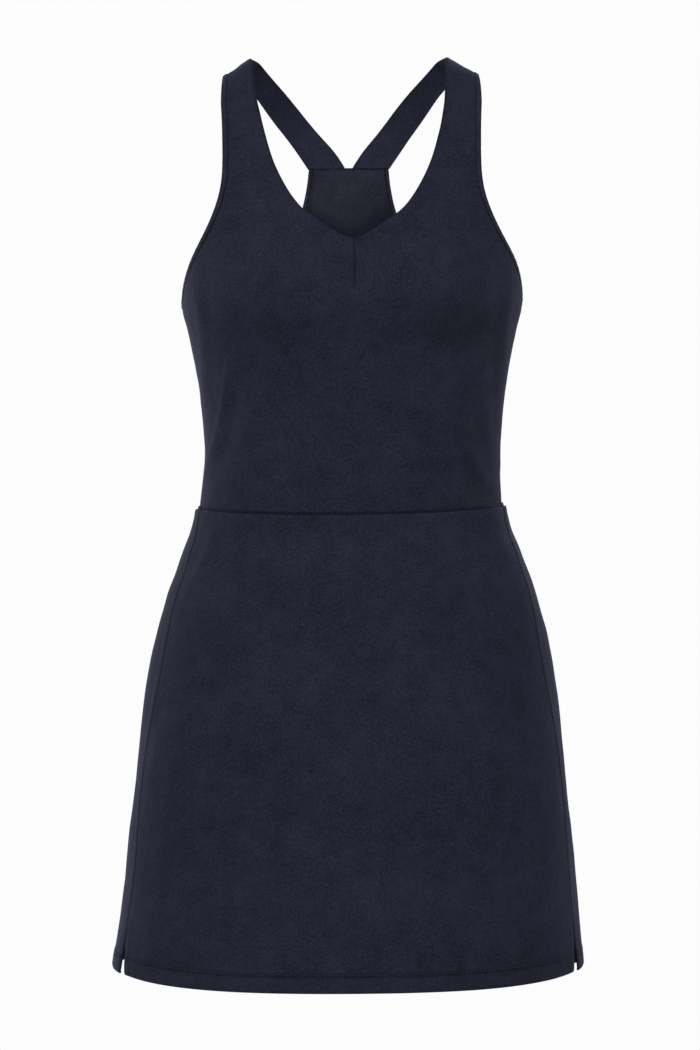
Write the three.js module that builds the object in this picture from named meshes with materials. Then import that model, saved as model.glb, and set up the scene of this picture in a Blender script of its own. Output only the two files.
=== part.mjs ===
import * as THREE from 'three';

// Tank dress: V neck, wide front straps, racerback on two narrow back straps, waist seam,
// A-line skirt with side slits. Millimetres, +Z up, the front faces -Y, the wearer's left
// is +X. The origin lies midway between the two shoulder crests, at crest height.

// ---- driving dimensions ----
const WALL = 1.5; // one layer of stretch knit
const SEAM_GAP = 0.3; // between pieces sewn together
const BIND_WIDTH = 5.1; // armhole binding, across
const BIND_WALL = 2.1; // binding, folded, so thicker than the panel
const HEM_LEVEL = -784.6; // hem at centre front
const HEM_RISE_FRONT = 6.8; // how much the front hem rises towards the slits
const HEM_RISE_BACK = 5.6; // the same at the back
const HEM_TURN = 17; // depth of the turned hem
const TURN_WALL = 2.4; // wall where the cloth is turned and stitched
const SLIT_TOP = -745; // top of the side slits
const WAIST_SIDE = -382.6; // waist seam at the side
const WAIST_FRONT_DIP = 7.3; // how much lower the seam sits at centre front
const WAIST_BACK_RISE = 2; // how much higher it sits at centre back
const CREST_SLOPE = 0.63; // fall of the shoulder line, outward
const CREST_HIGH = 7.5; // shoulder line above the origin, at CREST_AT
const CREST_AT = 91;
const NECK_ROUND = 30; // rounding of the shoulder line at the neck
const CREST_FADE_FROM = -130; // the shoulder slope fades in between these levels
const CREST_FADE_OVER = 110;
const STRAP_SEAM_DROP = 6; // strap seam, measured down the back from the crest
const RACER_TOP = -79; // top edge of the racerback
const DART_DEPTH = 0.9; // how far the centre front dart pinches in
const DART_END = -204; // lower end of the dart
const NECK_ASIDE = 1.9; // how far the neck and back straps sit towards the wearer's right

// ---- the filled-out form ----
// Sections across, from the shoulder down. half: to each side, front and back: reach of the
// cloth before and behind the side line, square: 2 is an ellipse.
const BODICE_SECTIONS = [
  { level: 0, half: 165, front: 0, back: 0, square: 2.3 },
  { level: -4, half: 164.5, front: 15, back: 15, square: 2.3 },
  { level: -8, half: 164, front: 21, back: 21.5, square: 2.3 },
  { level: -15, half: 163, front: 28, back: 30, square: 2.3 },
  { level: -25, half: 161.5, front: 35.5, back: 40, square: 2.3 },
  { level: -40, half: 159.5, front: 44.5, back: 53, square: 2.3 },
  { level: -60, half: 157, front: 54.5, back: 67.5, square: 2.3 },
  { level: -80, half: 155.5, front: 63.5, back: 78, square: 2.3 },
  { level: -100, half: 154.2, front: 72.5, back: 85.5, square: 2.3 },
  { level: -125, half: 153, front: 83.5, back: 91.5, square: 2.3 },
  { level: -150, half: 151.5, front: 94, back: 94.5, square: 2.3 },
  { level: -176, half: 149.6, front: 103, back: 95.5, square: 2.3 },
  { level: -194, half: 148.3, front: 106.5, back: 95, square: 2.3 },
  { level: -211, half: 147.2, front: 107.5, back: 93.5, square: 2.3 },
  { level: -228.5, half: 143, front: 105.5, back: 91.5, square: 2.28 },
  { level: -246, half: 139.3, front: 102, back: 88.5, square: 2.25 },
  { level: -263, half: 135.8, front: 98.5, back: 85.5, square: 2.22 },
  { level: -281, half: 132.8, front: 95.5, back: 82.5, square: 2.2 },
  { level: -298, half: 130.6, front: 93, back: 80, square: 2.18 },
  { level: -316, half: 129.1, front: 91.3, back: 78, square: 2.15 },
  { level: -333, half: 128.3, front: 90.3, back: 77, square: 2.15 },
  { level: -350.5, half: 128.6, front: 90, back: 76.8, square: 2.12 },
  { level: -368, half: 129.9, front: 90.8, back: 77.8, square: 2.1 },
  { level: -394, half: 133.1, front: 92.6, back: 80, square: 2.1 },
];
const SKIRT_SECTIONS = [
  { level: -376, half: 133.2, front: 93.2, back: 80.6, square: 2.1 },
  { level: -403, half: 139.5, front: 96.2, back: 86, square: 2.1 },
  { level: -420, half: 146, front: 99, back: 92, square: 2.12 },
  { level: -438, half: 152.5, front: 102, back: 98, square: 2.14 },
  { level: -455, half: 159.1, front: 105, back: 103.5, square: 2.16 },
  { level: -472.6, half: 164.5, front: 107.5, back: 108.5, square: 2.18 },
  { level: -490, half: 169.2, front: 110, back: 113, square: 2.14 },
  { level: -507.5, half: 173, front: 112, back: 116.5, square: 2.11 },
  { level: -525, half: 176.3, front: 114, back: 119.3, square: 2.1 },
  { level: -542, half: 178.8, front: 116, back: 121.5, square: 2.12 },
  { level: -560, half: 180.9, front: 118, back: 123, square: 2.17 },
  { level: -595, half: 184.2, front: 121.5, back: 125.2, square: 2.28 },
  { level: -630, half: 187.7, front: 125, back: 127, square: 2.28 },
  { level: -665, half: 191.7, front: 128.5, back: 129, square: 2.18 },
  { level: -700, half: 195.3, front: 132, back: 131, square: 2.14 },
  { level: -734, half: 199.3, front: 135.5, back: 133.5, square: 2.14 },
  { level: -769, half: 203.6, front: 139, back: 136, square: 2.14 },
  { level: -792, half: 205.8, front: 141, back: 138, square: 2.14 },
];
// It hangs a little out of true: how far each level lies towards the wearer's left.
// It hangs a little higher on the wearer's left: the rise for each mm sideways.
const LEAN = [
  { level: 0, rise: 0.011 }, { level: -200, rise: 0.011 }, { level: -400, rise: 0.0125 },
  { level: -560, rise: 0.009 }, { level: -792, rise: 0.004 },
];
const SWAY = [
  { level: 0, aside: 0 }, { level: -110, aside: 0 }, { level: -150, aside: 0.4 }, { level: -182, aside: 1.2 },
  { level: -240, aside: 1.3 }, { level: -275, aside: 1.8 }, { level: -310, aside: 2.2 }, { level: -342, aside: 1.8 },
  { level: -378, aside: 0.4 }, { level: -400, aside: 0.6 }, { level: -428, aside: 1.3 }, { level: -470, aside: 1.1 },
  { level: -510, aside: 0.5 }, { level: -690, aside: 0.4 }, { level: -727, aside: -0.5 }, { level: -777, aside: -1.6 },
  { level: -792, aside: -1.8 },
];
// Fullness eased into the front at bust level, one soft swell each side.
const FULLNESS = { across: 72, level: -204, high: 12.5, wide: 46, tall: 41 };
// Largest soft folds: ridges between two points on a face, negative ones are troughs.
const FOLDS = [
  { face: -1, x0: -108, level0: -270, x1: -127, level1: -350, high: 1.8, wide: 7 },
  { face: -1, x0: -96, level0: -276, x1: -116, level1: -356, high: -1.4, wide: 9 },
  { face: -1, x0: 92, level0: -330, x1: 121, level1: -368, high: 1.6, wide: 7 },
  { face: -1, x0: 88, level0: -346, x1: 114, level1: -378, high: -1.2, wide: 8 },
  { face: 1, x0: -70, level0: -318, x1: -118, level1: -352, high: 1.8, wide: 9 },
  { face: 1, x0: 66, level0: -326, x1: 116, level1: -358, high: 1.8, wide: 9 },
];

// ---- edges of the pieces ----
// Armhole edge at the front, against the drop below the shoulder line.
const ARMHOLE_FRONT = [
  { drop: 0, x: 111.4 }, { drop: 12.6, x: 112.4 }, { drop: 24.2, x: 112.6 }, { drop: 39.3, x: 111.9 },
  { drop: 54.4, x: 111.3 }, { drop: 69.4, x: 111 }, { drop: 84.2, x: 110.8 }, { drop: 95.8, x: 111.1 },
  { drop: 107.2, x: 112.2 }, { drop: 118.2, x: 114.4 }, { drop: 128.8, x: 117.7 }, { drop: 139, x: 121.9 },
  { drop: 149.1, x: 126.9 }, { drop: 158.9, x: 132.3 }, { drop: 171.8, x: 139.2 }, { drop: 179.8, x: 142.5 },
  { drop: 187.8, x: 145 }, { drop: 195.6, x: 146.7 }, { drop: 201, x: 147.4 },
];
// Neckline edge, the same way, from the crest to the point of the V.
const NECKLINE = [
  { drop: 0, x: 85.7 }, { drop: 4.1, x: 84.8 }, { drop: 14.9, x: 84 }, { drop: 29.9, x: 82.9 },
  { drop: 44.1, x: 81.4 }, { drop: 55.3, x: 79.3 }, { drop: 65.8, x: 77.1 }, { drop: 75.8, x: 74.4 },
  { drop: 85.2, x: 71.5 }, { drop: 94.3, x: 68 }, { drop: 103.2, x: 63.5 }, { drop: 112, x: 58.1 },
  { drop: 121.2, x: 51.5 }, { drop: 131.3, x: 42.9 }, { drop: 136.7, x: 36.6 }, { drop: 142, x: 29.1 },
  { drop: 147.7, x: 21.4 }, { drop: 151.1, x: 16.2 }, { drop: 156.5, x: 6.7 }, { drop: 158.6, x: 0 },
];
// Armhole edge at the back with the matching height on the centre back line, from the
// underarm to the top corner of the racerback.
const ARMHOLE_BACK = [
  { x: 142.4, level: -204.4, centre: -207 }, { x: 131, level: -201, centre: -199 },
  { x: 115.5, level: -194.4, centre: -190 }, { x: 98.5, level: -185.4, centre: -180.5 },
  { x: 84.5, level: -176.4, centre: -170 }, { x: 73.2, level: -165.8, centre: -161 },
  { x: 64, level: -155.4, centre: -152 }, { x: 56.4, level: -145, centre: -143 },
  { x: 50.2, level: -134.6, centre: -134 }, { x: 45.4, level: -124, centre: -124 },
  { x: 41.6, level: -113.5, centre: -113.5 }, { x: 39.1, level: -103, centre: -103 },
  { x: 37.2, level: -92, centre: -92 }, { x: 35.8, level: RACER_TOP, centre: RACER_TOP },
];
// Sections across a back strap, from the strap seam to the racerback.
const STRAP_ROWS = [
  { innerX: 78.4, innerDrop: 6, outerX: 101.5, outerDrop: 6 },
  { innerX: 75.4, innerDrop: 10.8, outerX: 95.6, outerDrop: 10.9 },
  { innerX: 71.9, innerDrop: 16.4, outerX: 89.2, outerDrop: 17 },
  { innerX: 65, innerDrop: 27, outerX: 82.8, outerDrop: 26.6 },
  { innerX: 58.3, innerDrop: 37.2, outerX: 76.7, outerDrop: 37.6 },
  { innerX: 52, innerDrop: 47.1, outerX: 70.8, outerDrop: 48.4 },
  { innerX: 45.8, innerDrop: 57, outerX: 64.8, outerDrop: 58.5 },
  { innerX: 39.7, innerDrop: 66.2, outerX: 58.8, outerDrop: 67.3 },
  { innerX: 33.5, innerDrop: 74.6, outerX: 52.8, outerDrop: 75.3 },
  { innerX: 27.2, innerDrop: 81.7, outerX: 47, outerDrop: 82.8 },
  { innerX: 20.5, innerDrop: 87.7, outerX: 42.2, outerDrop: 88.3 },
  { innerX: 12.5, innerDrop: 93, outerX: 38.6, outerDrop: 92 },
];
// Last strap section, sewn on the racerback's top edge.
const STRAP_END = { innerX: 3.8, outerX: 36.1 };
// Skirt side seam: how far ahead of the side line each panel's edge runs. Below SLIT_TOP
// the two edges part.
const SKIRT_SEAM = [
  { level: -376, front: 23, back: 23 }, { level: -403, front: 31, back: 31 },
  { level: -440, front: 38, back: 38 }, { level: -470, front: 42, back: 42 },
  { level: -497, front: 45, back: 45 }, { level: -522, front: 46, back: 46 },
  { level: -570, front: 45, back: 45 }, { level: -600, front: 43.5, back: 43.5 },
  { level: -630, front: 43, back: 43 }, { level: -660, front: 44, back: 44 },
  { level: -708, front: 46, back: 46 }, { level: SLIT_TOP, front: 47, back: 47 },
  { level: -765, front: 51, back: 45 }, { level: -792, front: 57, back: 42.5 },
];
// Bodice side seam: how far behind the side line it runs.
const BODICE_SEAM = [
  { level: -200, behind: 7 }, { level: -300, behind: 5 }, { level: -394, behind: 0.5 },
];

// ---- rows and columns of the panels ----
const UNDERARM = -205.5; // armhole edge at the side
const BODICE_ROWS = [0, 0.08, 0.16, 0.24, 0.32, 0.4, 0.48, 0.56, 0.64, 0.72, 0.8, 0.88, 0.95]; // waist to underarm
const SIDE_DROPS = [201, 195, 188, 180, 172, 165, 158.6]; // then up to the V
const NECK_DROPS = [156.5, 151, 144, 136.7, 129, 119, 107, 94, 80, 66, 52, 38, 25, 15, 8, 3.5, 1]; // then to the crest
const COLUMNS = [0, 0.1, 0.21, 0.32, 0.44, 0.56, 0.69, 0.83, 0.965, 1]; // armhole side to centre
const BACK_COLUMNS = [0, 0.12, 0.25, 0.38, 0.52, 0.66, 0.83, 1];
const STRAP_COLUMNS = [0, 0.5, 1];
const BIND_COLUMNS = [0, 0.5, 1];
const SKIRT_ROWS = [0, 0.03, 0.09, 0.15, 0.21, 0.27, 0.33, 0.39, 0.45, 0.52, 0.59, 0.66, 0.73, 0.8, 0.86]; // waist to slit
const TURN_AT = 1 - HEM_TURN / (SLIT_TOP - HEM_LEVEL); // where the turned hem begins
const SLIT_ROWS = [0, TURN_AT / 2, TURN_AT, TURN_AT + 0.02, 0.8, 1]; // slit top to hem
const SKIRT_COLUMNS = 16; // per panel, both sides together

// ---- curves through the tables ----
// Monotone cubic through one column of a table, so a named size never overshoots.
function curve(rows, by, column, shape = (v) => v) {
  const pts = rows.map((r) => [r[by], shape(r[column])]).sort((p, q) => p[0] - q[0]);
  const n = pts.length;
  const d = [];
  for (let i = 0; i < n - 1; i += 1) d.push((pts[i + 1][1] - pts[i][1]) / (pts[i + 1][0] - pts[i][0]));
  const m = [d[0]];
  for (let i = 1; i < n - 1; i += 1) {
    const h0 = pts[i][0] - pts[i - 1][0];
    const h1 = pts[i + 1][0] - pts[i][0];
    m.push(d[i - 1] * d[i] <= 0 ? 0 : (3 * (h0 + h1)) / ((2 * h1 + h0) / d[i - 1] + (h1 + 2 * h0) / d[i]));
  }
  m.push(d[n - 2]);
  return (t) => {
    const x = Math.min(Math.max(t, pts[0][0]), pts[n - 1][0]);
    let i = 0;
    while (i < n - 2 && x > pts[i + 1][0]) i += 1;
    const h = pts[i + 1][0] - pts[i][0];
    const s = (x - pts[i][0]) / h;
    const s2 = s * s;
    const s3 = s2 * s;
    return (2 * s3 - 3 * s2 + 1) * pts[i][1] + (s3 - 2 * s2 + s) * h * m[i]
      + (3 * s2 - 2 * s3) * pts[i + 1][1] + (s3 - s2) * h * m[i + 1];
  };
}
const square = (v) => v * v;
const formOf = (rows) => ({
  half: curve(rows, 'level', 'half'),
  front2: curve(rows, 'level', 'front', square),
  back2: curve(rows, 'level', 'back', square),
  square: curve(rows, 'level', 'square'),
});
const BODICE = { ...formOf(BODICE_SECTIONS), shoulder: true };
const SKIRT = { ...formOf(SKIRT_SECTIONS), shoulder: false };
const armholeFrontX = curve(ARMHOLE_FRONT, 'drop', 'x');
const necklineX = curve(NECKLINE, 'drop', 'x');
const seamFront = curve(SKIRT_SEAM, 'level', 'front');
const seamBack = curve(SKIRT_SEAM, 'level', 'back');
const seamBehind = curve(BODICE_SEAM, 'level', 'behind');
const sway = curve(SWAY, 'level', 'aside');
const lean = curve(LEAN, 'level', 'rise');

// ---- the shoulder line and heights measured from it ----
const smooth = (t) => {
  const s = Math.min(Math.max(t, 0), 1);
  return s * s * (3 - 2 * s);
};
const crestHeight = (x) => CREST_HIGH - CREST_SLOPE * (Math.hypot(x, NECK_ROUND) - CREST_AT);
const crestShare = (z) => smooth((z - CREST_FADE_FROM) / CREST_FADE_OVER);
const levelOf = (x, z) => z - crestShare(z) * crestHeight(x);
function heightAt(x, drop) {
  let z = -drop;
  for (let i = 0; i < 60; i += 1) z += 0.6 * (crestShare(z) * crestHeight(x) - drop - z);
  return z;
}

// ---- the form's surface ----
const fullness = (x, z) => FULLNESS.high
  * Math.exp(-(((Math.abs(x) - FULLNESS.across) / FULLNESS.wide) ** 2) - ((z - FULLNESS.level) / FULLNESS.tall) ** 2);
function foldHeight(x, z, face) {
  let h = 0;
  for (const f of FOLDS) {
    if (f.face === face) {
      const dx = f.x1 - f.x0;
      const dz = f.level1 - f.level0;
      const len = Math.hypot(dx, dz);
      const along = ((x - f.x0) * dx + (z - f.level0) * dz) / (len * len);
      const off = ((x - f.x0) * dz - (z - f.level0) * dx) / len;
      const ends = smooth((along + 0.35) / 0.6) * smooth((1.35 - along) / 0.6);
      h += f.high * ends * Math.exp(-((off / f.wide) ** 2));
    }
  }
  return h;
}
function reach(form, x, z, face) {
  const level = form.shoulder ? Math.min(levelOf(x, z), 0) : z;
  const b = Math.sqrt(Math.max(face < 0 ? form.front2(level) : form.back2(level), 0));
  return form.shoulder && face < 0 ? b + fullness(x, z) : b;
}
// Zero on the surface, positive outside; written so that it stays smooth at the crest.
function outside(form, x, y, z, face) {
  const level = form.shoulder ? levelOf(x, z) : z;
  const n = form.square(level);
  const a = form.half(level);
  const r = Math.abs(x) / a;
  if (form.shoulder && level > -60) {
    const b2 = level > 0 ? -level * 60 : (face < 0 ? form.front2(level) : form.back2(level));
    return y * y - b2 * Math.max(1 - r ** n, 0) ** (2 / n);
  }
  return r ** n + (Math.abs(y) / reach(form, x, z, face)) ** n - 1;
}
function normalAt(form, p, face) {
  const e = 0.2;
  const g = [0, 1, 2].map((k) => {
    const up = [...p];
    const down = [...p];
    up[k] += e;
    down[k] -= e;
    return outside(form, ...up, face) - outside(form, ...down, face);
  });
  const len = Math.hypot(...g);
  return g.map((v) => v / len);
}
// A point of the surface from the angle round it (0 centre front, PI centre back).
function pointAt(form, angle, z, side) {
  const face = angle <= Math.PI / 2 ? -1 : 1;
  const turn = face < 0 ? angle : Math.PI - angle;
  let x = 0;
  for (let i = 0; i < (form.shoulder && z > CREST_FADE_FROM ? 30 : 1); i += 1) {
    const level = form.shoulder ? Math.min(levelOf(x, z), 0) : z;
    x = form.half(level) * Math.max(Math.sin(turn), 0) ** (2 / form.square(level));
  }
  const level = form.shoulder ? Math.min(levelOf(x, z), 0) : z;
  const y = face * reach(form, x, z, face) * Math.max(Math.cos(turn), 0) ** (2 / form.square(level));
  return { p: [side * x, y, z], face };
}
// The angle that reaches a given distance to the side.
function angleFor(form, x, z, face) {
  const level = form.shoulder ? Math.min(levelOf(x, z), 0) : z;
  const turn = Math.asin(Math.min(Math.abs(x) / form.half(level), 1) ** (form.square(level) / 2));
  return face < 0 ? turn : Math.PI - turn;
}
function angleBehind(form, behind, z) {
  const level = form.shoulder ? levelOf(0, z) : z;
  const b = Math.sqrt(form.back2(level));
  return Math.PI / 2 + Math.asin((behind / b) ** (form.square(level) / 2));
}
function onSurface(form, x, z, face) {
  const level = form.shoulder ? Math.min(levelOf(x, z), 0) : z;
  const n = form.square(level);
  const y = face * reach(form, x, z, face) * Math.max(1 - (Math.abs(x) / form.half(level)) ** n, 0) ** (1 / n);
  return [x, y, z];
}

// The slight lean and sway that the dress hangs with.
function hang([x, y, z]) {
  const behind = smooth(y / 20);
  const near = (smooth((z + 60) / 60) * (1 - behind) + smooth((z + 72) / 56) * behind) * smooth((106 - Math.abs(x)) / 18);
  return [x + sway(z) - NECK_ASIDE * near, y, z + lean(z) * x];
}

// ---- sheets and their walls ----
class Sheet {
  constructor(form) {
    this.form = form;
    this.outer = [];
    this.inner = [];
    this.faces = [];
    this.keys = new Map();
  }

  // wall: thickness here; lift: how far the outside stands out from the form
  add(key, p, face, wall = WALL, lift = 0) {
    if (this.keys.has(key)) return this.keys.get(key);
    const n = normalAt(this.form, p, face);
    const h = lift + foldHeight(p[0], p[2], face);
    this.outer.push(p.map((v, k) => v + n[k] * h));
    this.inner.push(p.map((v, k) => v + n[k] * (h - wall)));
    this.keys.set(key, this.outer.length - 1);
    return this.outer.length - 1;
  }

  quad(a, b, c, d) {
    for (const t of [[a, b, c], [a, c, d]]) {
      if (new Set(t).size === 3) this.faces.push(t);
    }
  }

  // The shortest diagonal keeps the facets even.
  cell(a, b, c, d) {
    const gap = (i, j) => Math.hypot(...this.outer[i].map((v, k) => v - this.outer[j][k]));
    if (gap(a, c) <= gap(b, d)) this.quad(a, b, c, d);
    else this.quad(b, c, d, a);
  }

  grid(rows) {
    for (let i = 0; i + 1 < rows.length; i += 1) {
      for (let j = 0; j + 1 < rows[i].length; j += 1) {
        this.cell(rows[i][j], rows[i][j + 1], rows[i + 1][j + 1], rows[i + 1][j]);
      }
    }
  }

  solid(name, material) {
    const sub = (i, j) => this.outer[i].map((v, k) => v - this.outer[j][k]);
    const faces = this.faces.map((t) => {
      const u = sub(t[1], t[0]);
      const v = sub(t[2], t[0]);
      const n = [u[1] * v[2] - u[2] * v[1], u[2] * v[0] - u[0] * v[2], u[0] * v[1] - u[1] * v[0]];
      const out = this.outer[t[0]].map((c, k) => c - this.inner[t[0]][k]);
      return n[0] * out[0] + n[1] * out[1] + n[2] * out[2] >= 0 ? t : [t[0], t[2], t[1]];
    });
    const count = this.outer.length;
    const index = [];
    const edges = new Map();
    for (const [a, b, c] of faces) {
      index.push(a, b, c, a + count, c + count, b + count);
      for (const [p, q] of [[a, b], [b, c], [c, a]]) edges.set(`${p},${q}`, [p, q]);
    }
    for (const [p, q] of edges.values()) {
      if (!edges.has(`${q},${p}`)) index.push(q, p, p + count, q, p + count, q + count);
    }
    const hung = [...this.outer, ...this.inner].map(hang);
    const geometry = new THREE.BufferGeometry();
    geometry.setAttribute('position', new THREE.Float32BufferAttribute(hung.flat(), 3));
    geometry.setIndex(index);
    geometry.computeVertexNormals();
    const mesh = new THREE.Mesh(geometry, material);
    mesh.name = name;
    return mesh;
  }
}

// ---- the armhole edge as a path of points on the form ----
function armholePath() {
  const path = [];
  const lastX = STRAP_ROWS[0].outerX;
  path.push({ face: 1, x: lastX, z: heightAt(lastX, STRAP_SEAM_DROP - SEAM_GAP / 4) });
  path.push({ face: 1, x: 107.3, z: heightAt(107.3, 2) });
  path.push({ face: 0, x: armholeFrontX(0), z: heightAt(armholeFrontX(0), 0) });
  for (const drop of [...NECK_DROPS].reverse()) path.push({ face: -1, x: armholeFrontX(drop), z: heightAt(armholeFrontX(drop), drop) });
  for (const drop of [...SIDE_DROPS].reverse()) path.push({ face: -1, x: armholeFrontX(drop), z: heightAt(armholeFrontX(drop), drop) });
  path.push({ face: 2, x: 0, z: UNDERARM });
  for (const row of ARMHOLE_BACK) path.push({ face: 1, x: row.x, z: row.level });
  for (const node of path) {
    if (node.face === 0) node.p = [node.x, 0, node.z];
    else if (node.face === 2) node.p = pointAt(BODICE, angleBehind(BODICE, seamBehind(node.z), node.z), node.z, 1).p;
    else node.p = onSurface(BODICE, node.x, node.z, node.face);
    node.face = node.face === 2 ? 1 : node.face || -1;
    node.n = normalAt(BODICE, node.p, node.face);
  }
  for (let i = 0; i < path.length; i += 1) {
    const back = path[Math.max(i - 1, 0)].p;
    const next = path[Math.min(i + 1, path.length - 1)].p;
    const t = next.map((v, k) => v - back[k]);
    const { n } = path[i];
    const d = [t[1] * n[2] - t[2] * n[1], t[2] * n[0] - t[0] * n[2], t[0] * n[1] - t[1] * n[0]];
    const len = Math.hypot(...d);
    path[i].inward = d.map((v) => v / len);
  }
  // The ends are cut along the strap seam and along the racerback's top edge.
  const first = path[0];
  const inner = STRAP_ROWS[0];
  const target = onSurface(BODICE, inner.innerX, heightAt(inner.innerX, inner.innerDrop - SEAM_GAP / 4), 1);
  const along = target.map((v, k) => v - first.p[k]);
  first.inward = along.map((v) => v / Math.hypot(...along));
  path[path.length - 1].inward = [-1, 0, 0];
  return path;
}
const PATH = armholePath();

// A point near the form, put back on it.
function project(p, fallback) {
  const q = [...p];
  for (let i = 0; i < 6; i += 1) {
    const face = Math.abs(q[1]) < 1e-6 ? fallback : Math.sign(q[1]);
    const n = normalAt(BODICE, q, face);
    const here = outside(BODICE, ...q, face);
    const there = outside(BODICE, ...q.map((v, k) => v + n[k] * 0.1), face);
    const step = (-here * 0.1) / (there - here);
    if (Number.isFinite(step)) for (let k = 0; k < 3; k += 1) q[k] += n[k] * Math.max(-1, Math.min(1, step));
  }
  return q;
}
// A point a given way in from the armhole edge.
const inFromEdge = (node, way) => project(node.p.map((v, k) => v + node.inward[k] * way), node.face);
const faceOf = (p, fallback) => (Math.abs(p[1]) < 1e-6 ? fallback : Math.sign(p[1]));
const angleOf = (p) => angleFor(BODICE, p[0], p[2], p[1] <= 0 ? -1 : 1);

// ---- bodice front ----
const waistAt = (angle) => WAIST_SIDE - (angle <= Math.PI / 2
  ? WAIST_FRONT_DIP * Math.cos(angle) ** 1.2
  : -WAIST_BACK_RISE * Math.abs(Math.cos(angle)) ** 1.5);
const BIND_IN = BIND_WIDTH + SEAM_GAP;
const underarmIndex = 3 + NECK_DROPS.length + SIDE_DROPS.length;

function rowBetween(sheet, key, start, end, columns, options = {}) {
  // start, end: { angle, z } on the bodice, or the skirt when the form says so
  return columns.map((u, j) => {
    const angle = start.angle + (end.angle - start.angle) * u;
    const z = start.z + (end.z - start.z) * u + (options.bend ? options.bend(angle, u) : 0);
    const at = pointAt(sheet.form, angle, z, options.side);
    const last = options.centre && j === columns.length - 1;
    if (last) at.p[0] = 0;
    return sheet.add(last ? `${key}:c` : `${key}:${options.side}:${j}`, at.p, at.face, options.wall ? options.wall(angle, z) : WALL, last && options.pinch ? -options.pinch(z) : 0);
  });
}

const dartPinch = (z) => DART_DEPTH * smooth((z - DART_END) / 12);

function bodiceFront() {
  const sheet = new Sheet(BODICE);
  const under = inFromEdge(PATH[underarmIndex], BIND_IN);
  for (const side of [1, -1]) {
    const rows = [];
    BODICE_ROWS.forEach((t, i) => {
      const seamZ0 = waistAt(Math.PI / 2);
      const z = seamZ0 + (under[2] - seamZ0) * t;
      const seam = angleBehind(BODICE, seamBehind(z), z) - SEAM_GAP / 2 / 60;
      const zc = waistAt(0) + (-203 - waistAt(0)) * t;
      rows.push(rowBetween(sheet, `s${i}`, { angle: seam, z }, { angle: 0, z: zc }, COLUMNS, {
        side,
        centre: true,
        pinch: dartPinch,
        bend: (angle, u) => (i === 0 ? waistAt(angle) - (z + (zc - z) * u) : 0),
      }));
    });
    const put = (key, q, face) => sheet.add(key, [side * q[0], q[1], q[2]], face);
    // Rows that start on the armhole, up to the V.
    const cf = [-203, ...SIDE_DROPS.map((d) => -d)];
    cf.forEach((zc, i) => {
      const node = PATH[underarmIndex - i];
      const q = i === 0 ? under : inFromEdge(node, BIND_IN);
      let start = { angle: angleOf(q), z: q[2] };
      if (i === 0) start = { angle: angleBehind(BODICE, seamBehind(q[2]), q[2]) - SEAM_GAP / 2 / 60, z: q[2] };
      rows.push(rowBetween(sheet, `a${i}`, start, { angle: 0, z: zc }, COLUMNS, { side, centre: true, pinch: dartPinch }));
    });
    // Rows between armhole and neckline, up to the crest.
    NECK_DROPS.forEach((drop, i) => {
      const node = PATH[underarmIndex - SIDE_DROPS.length - 1 - i];
      const q = inFromEdge(node, BIND_IN);
      const xi = necklineX(drop);
      const ax = q[0];
      const dropOut = -levelOf(q[0], q[2]);
      rows.push(COLUMNS.map((u, j) => {
        const x = ax + (xi - ax) * u;
        const z = heightAt(x, dropOut + (drop - dropOut) * u);
        return put(`n${i}:${side}:${j}`, onSurface(BODICE, x, z, -1), -1);
      }));
    });
    // Over the crest and down to the strap seam.
    const over = [
      { node: PATH[2], drop: 0, inner: necklineX(0), face: 0 },
      { node: PATH[1], drop: 1.1, inner: 83.8, face: 1 },
      { node: PATH[0], drop: STRAP_SEAM_DROP - SEAM_GAP / 4, inner: STRAP_ROWS[0].innerX, face: 1 },
    ];
    over.forEach((row, i) => {
      const q = inFromEdge(row.node, BIND_IN);
      const top = heightAt(row.inner, row.drop);
      const end = row.face === 0 ? [row.inner, 0, top] : onSurface(BODICE, row.inner, top, 1);
      rows.push(COLUMNS.map((u, j) => {
        const at = u === 0 ? q : project(q.map((v, k) => v + (end[k] - v) * u), row.face || -1);
        return put(`o${i}:${side}:${j}`, at, faceOf(at, row.face || -1));
      }));
    });
    sheet.grid(rows);
  }
  return sheet;
}

function bodiceBack() {
  const sheet = new Sheet(BODICE);
  const under = inFromEdge(PATH[underarmIndex], BIND_IN);
  for (const side of [1, -1]) {
    const rows = [];
    BODICE_ROWS.concat([1]).forEach((t, i) => {
      const seamZ0 = waistAt(Math.PI / 2);
      const z = seamZ0 + (under[2] - seamZ0) * t;
      const seam = angleBehind(BODICE, seamBehind(z), z) + SEAM_GAP / 2 / 60;
      const zc = waistAt(Math.PI) + (-215 - waistAt(Math.PI)) * t;
      rows.push(rowBetween(sheet, `s${i}`, { angle: seam, z }, { angle: Math.PI, z: zc }, BACK_COLUMNS, {
        side,
        centre: true,
        bend: (angle, u) => (i === 0 ? waistAt(angle) - (z + (zc - z) * u) : 0),
      }));
    });
    ARMHOLE_BACK.forEach((row, i) => {
      const node = PATH[underarmIndex + 1 + i];
      const q = inFromEdge(node, BIND_IN);
      if (i === ARMHOLE_BACK.length - 1) q[2] = RACER_TOP;
      rows.push(rowBetween(sheet, `a${i}`, { angle: angleOf(q), z: q[2] }, { angle: Math.PI, z: row.centre }, BACK_COLUMNS, { side, centre: true }));
    });
    sheet.grid(rows);
  }
  return sheet;
}

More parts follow.
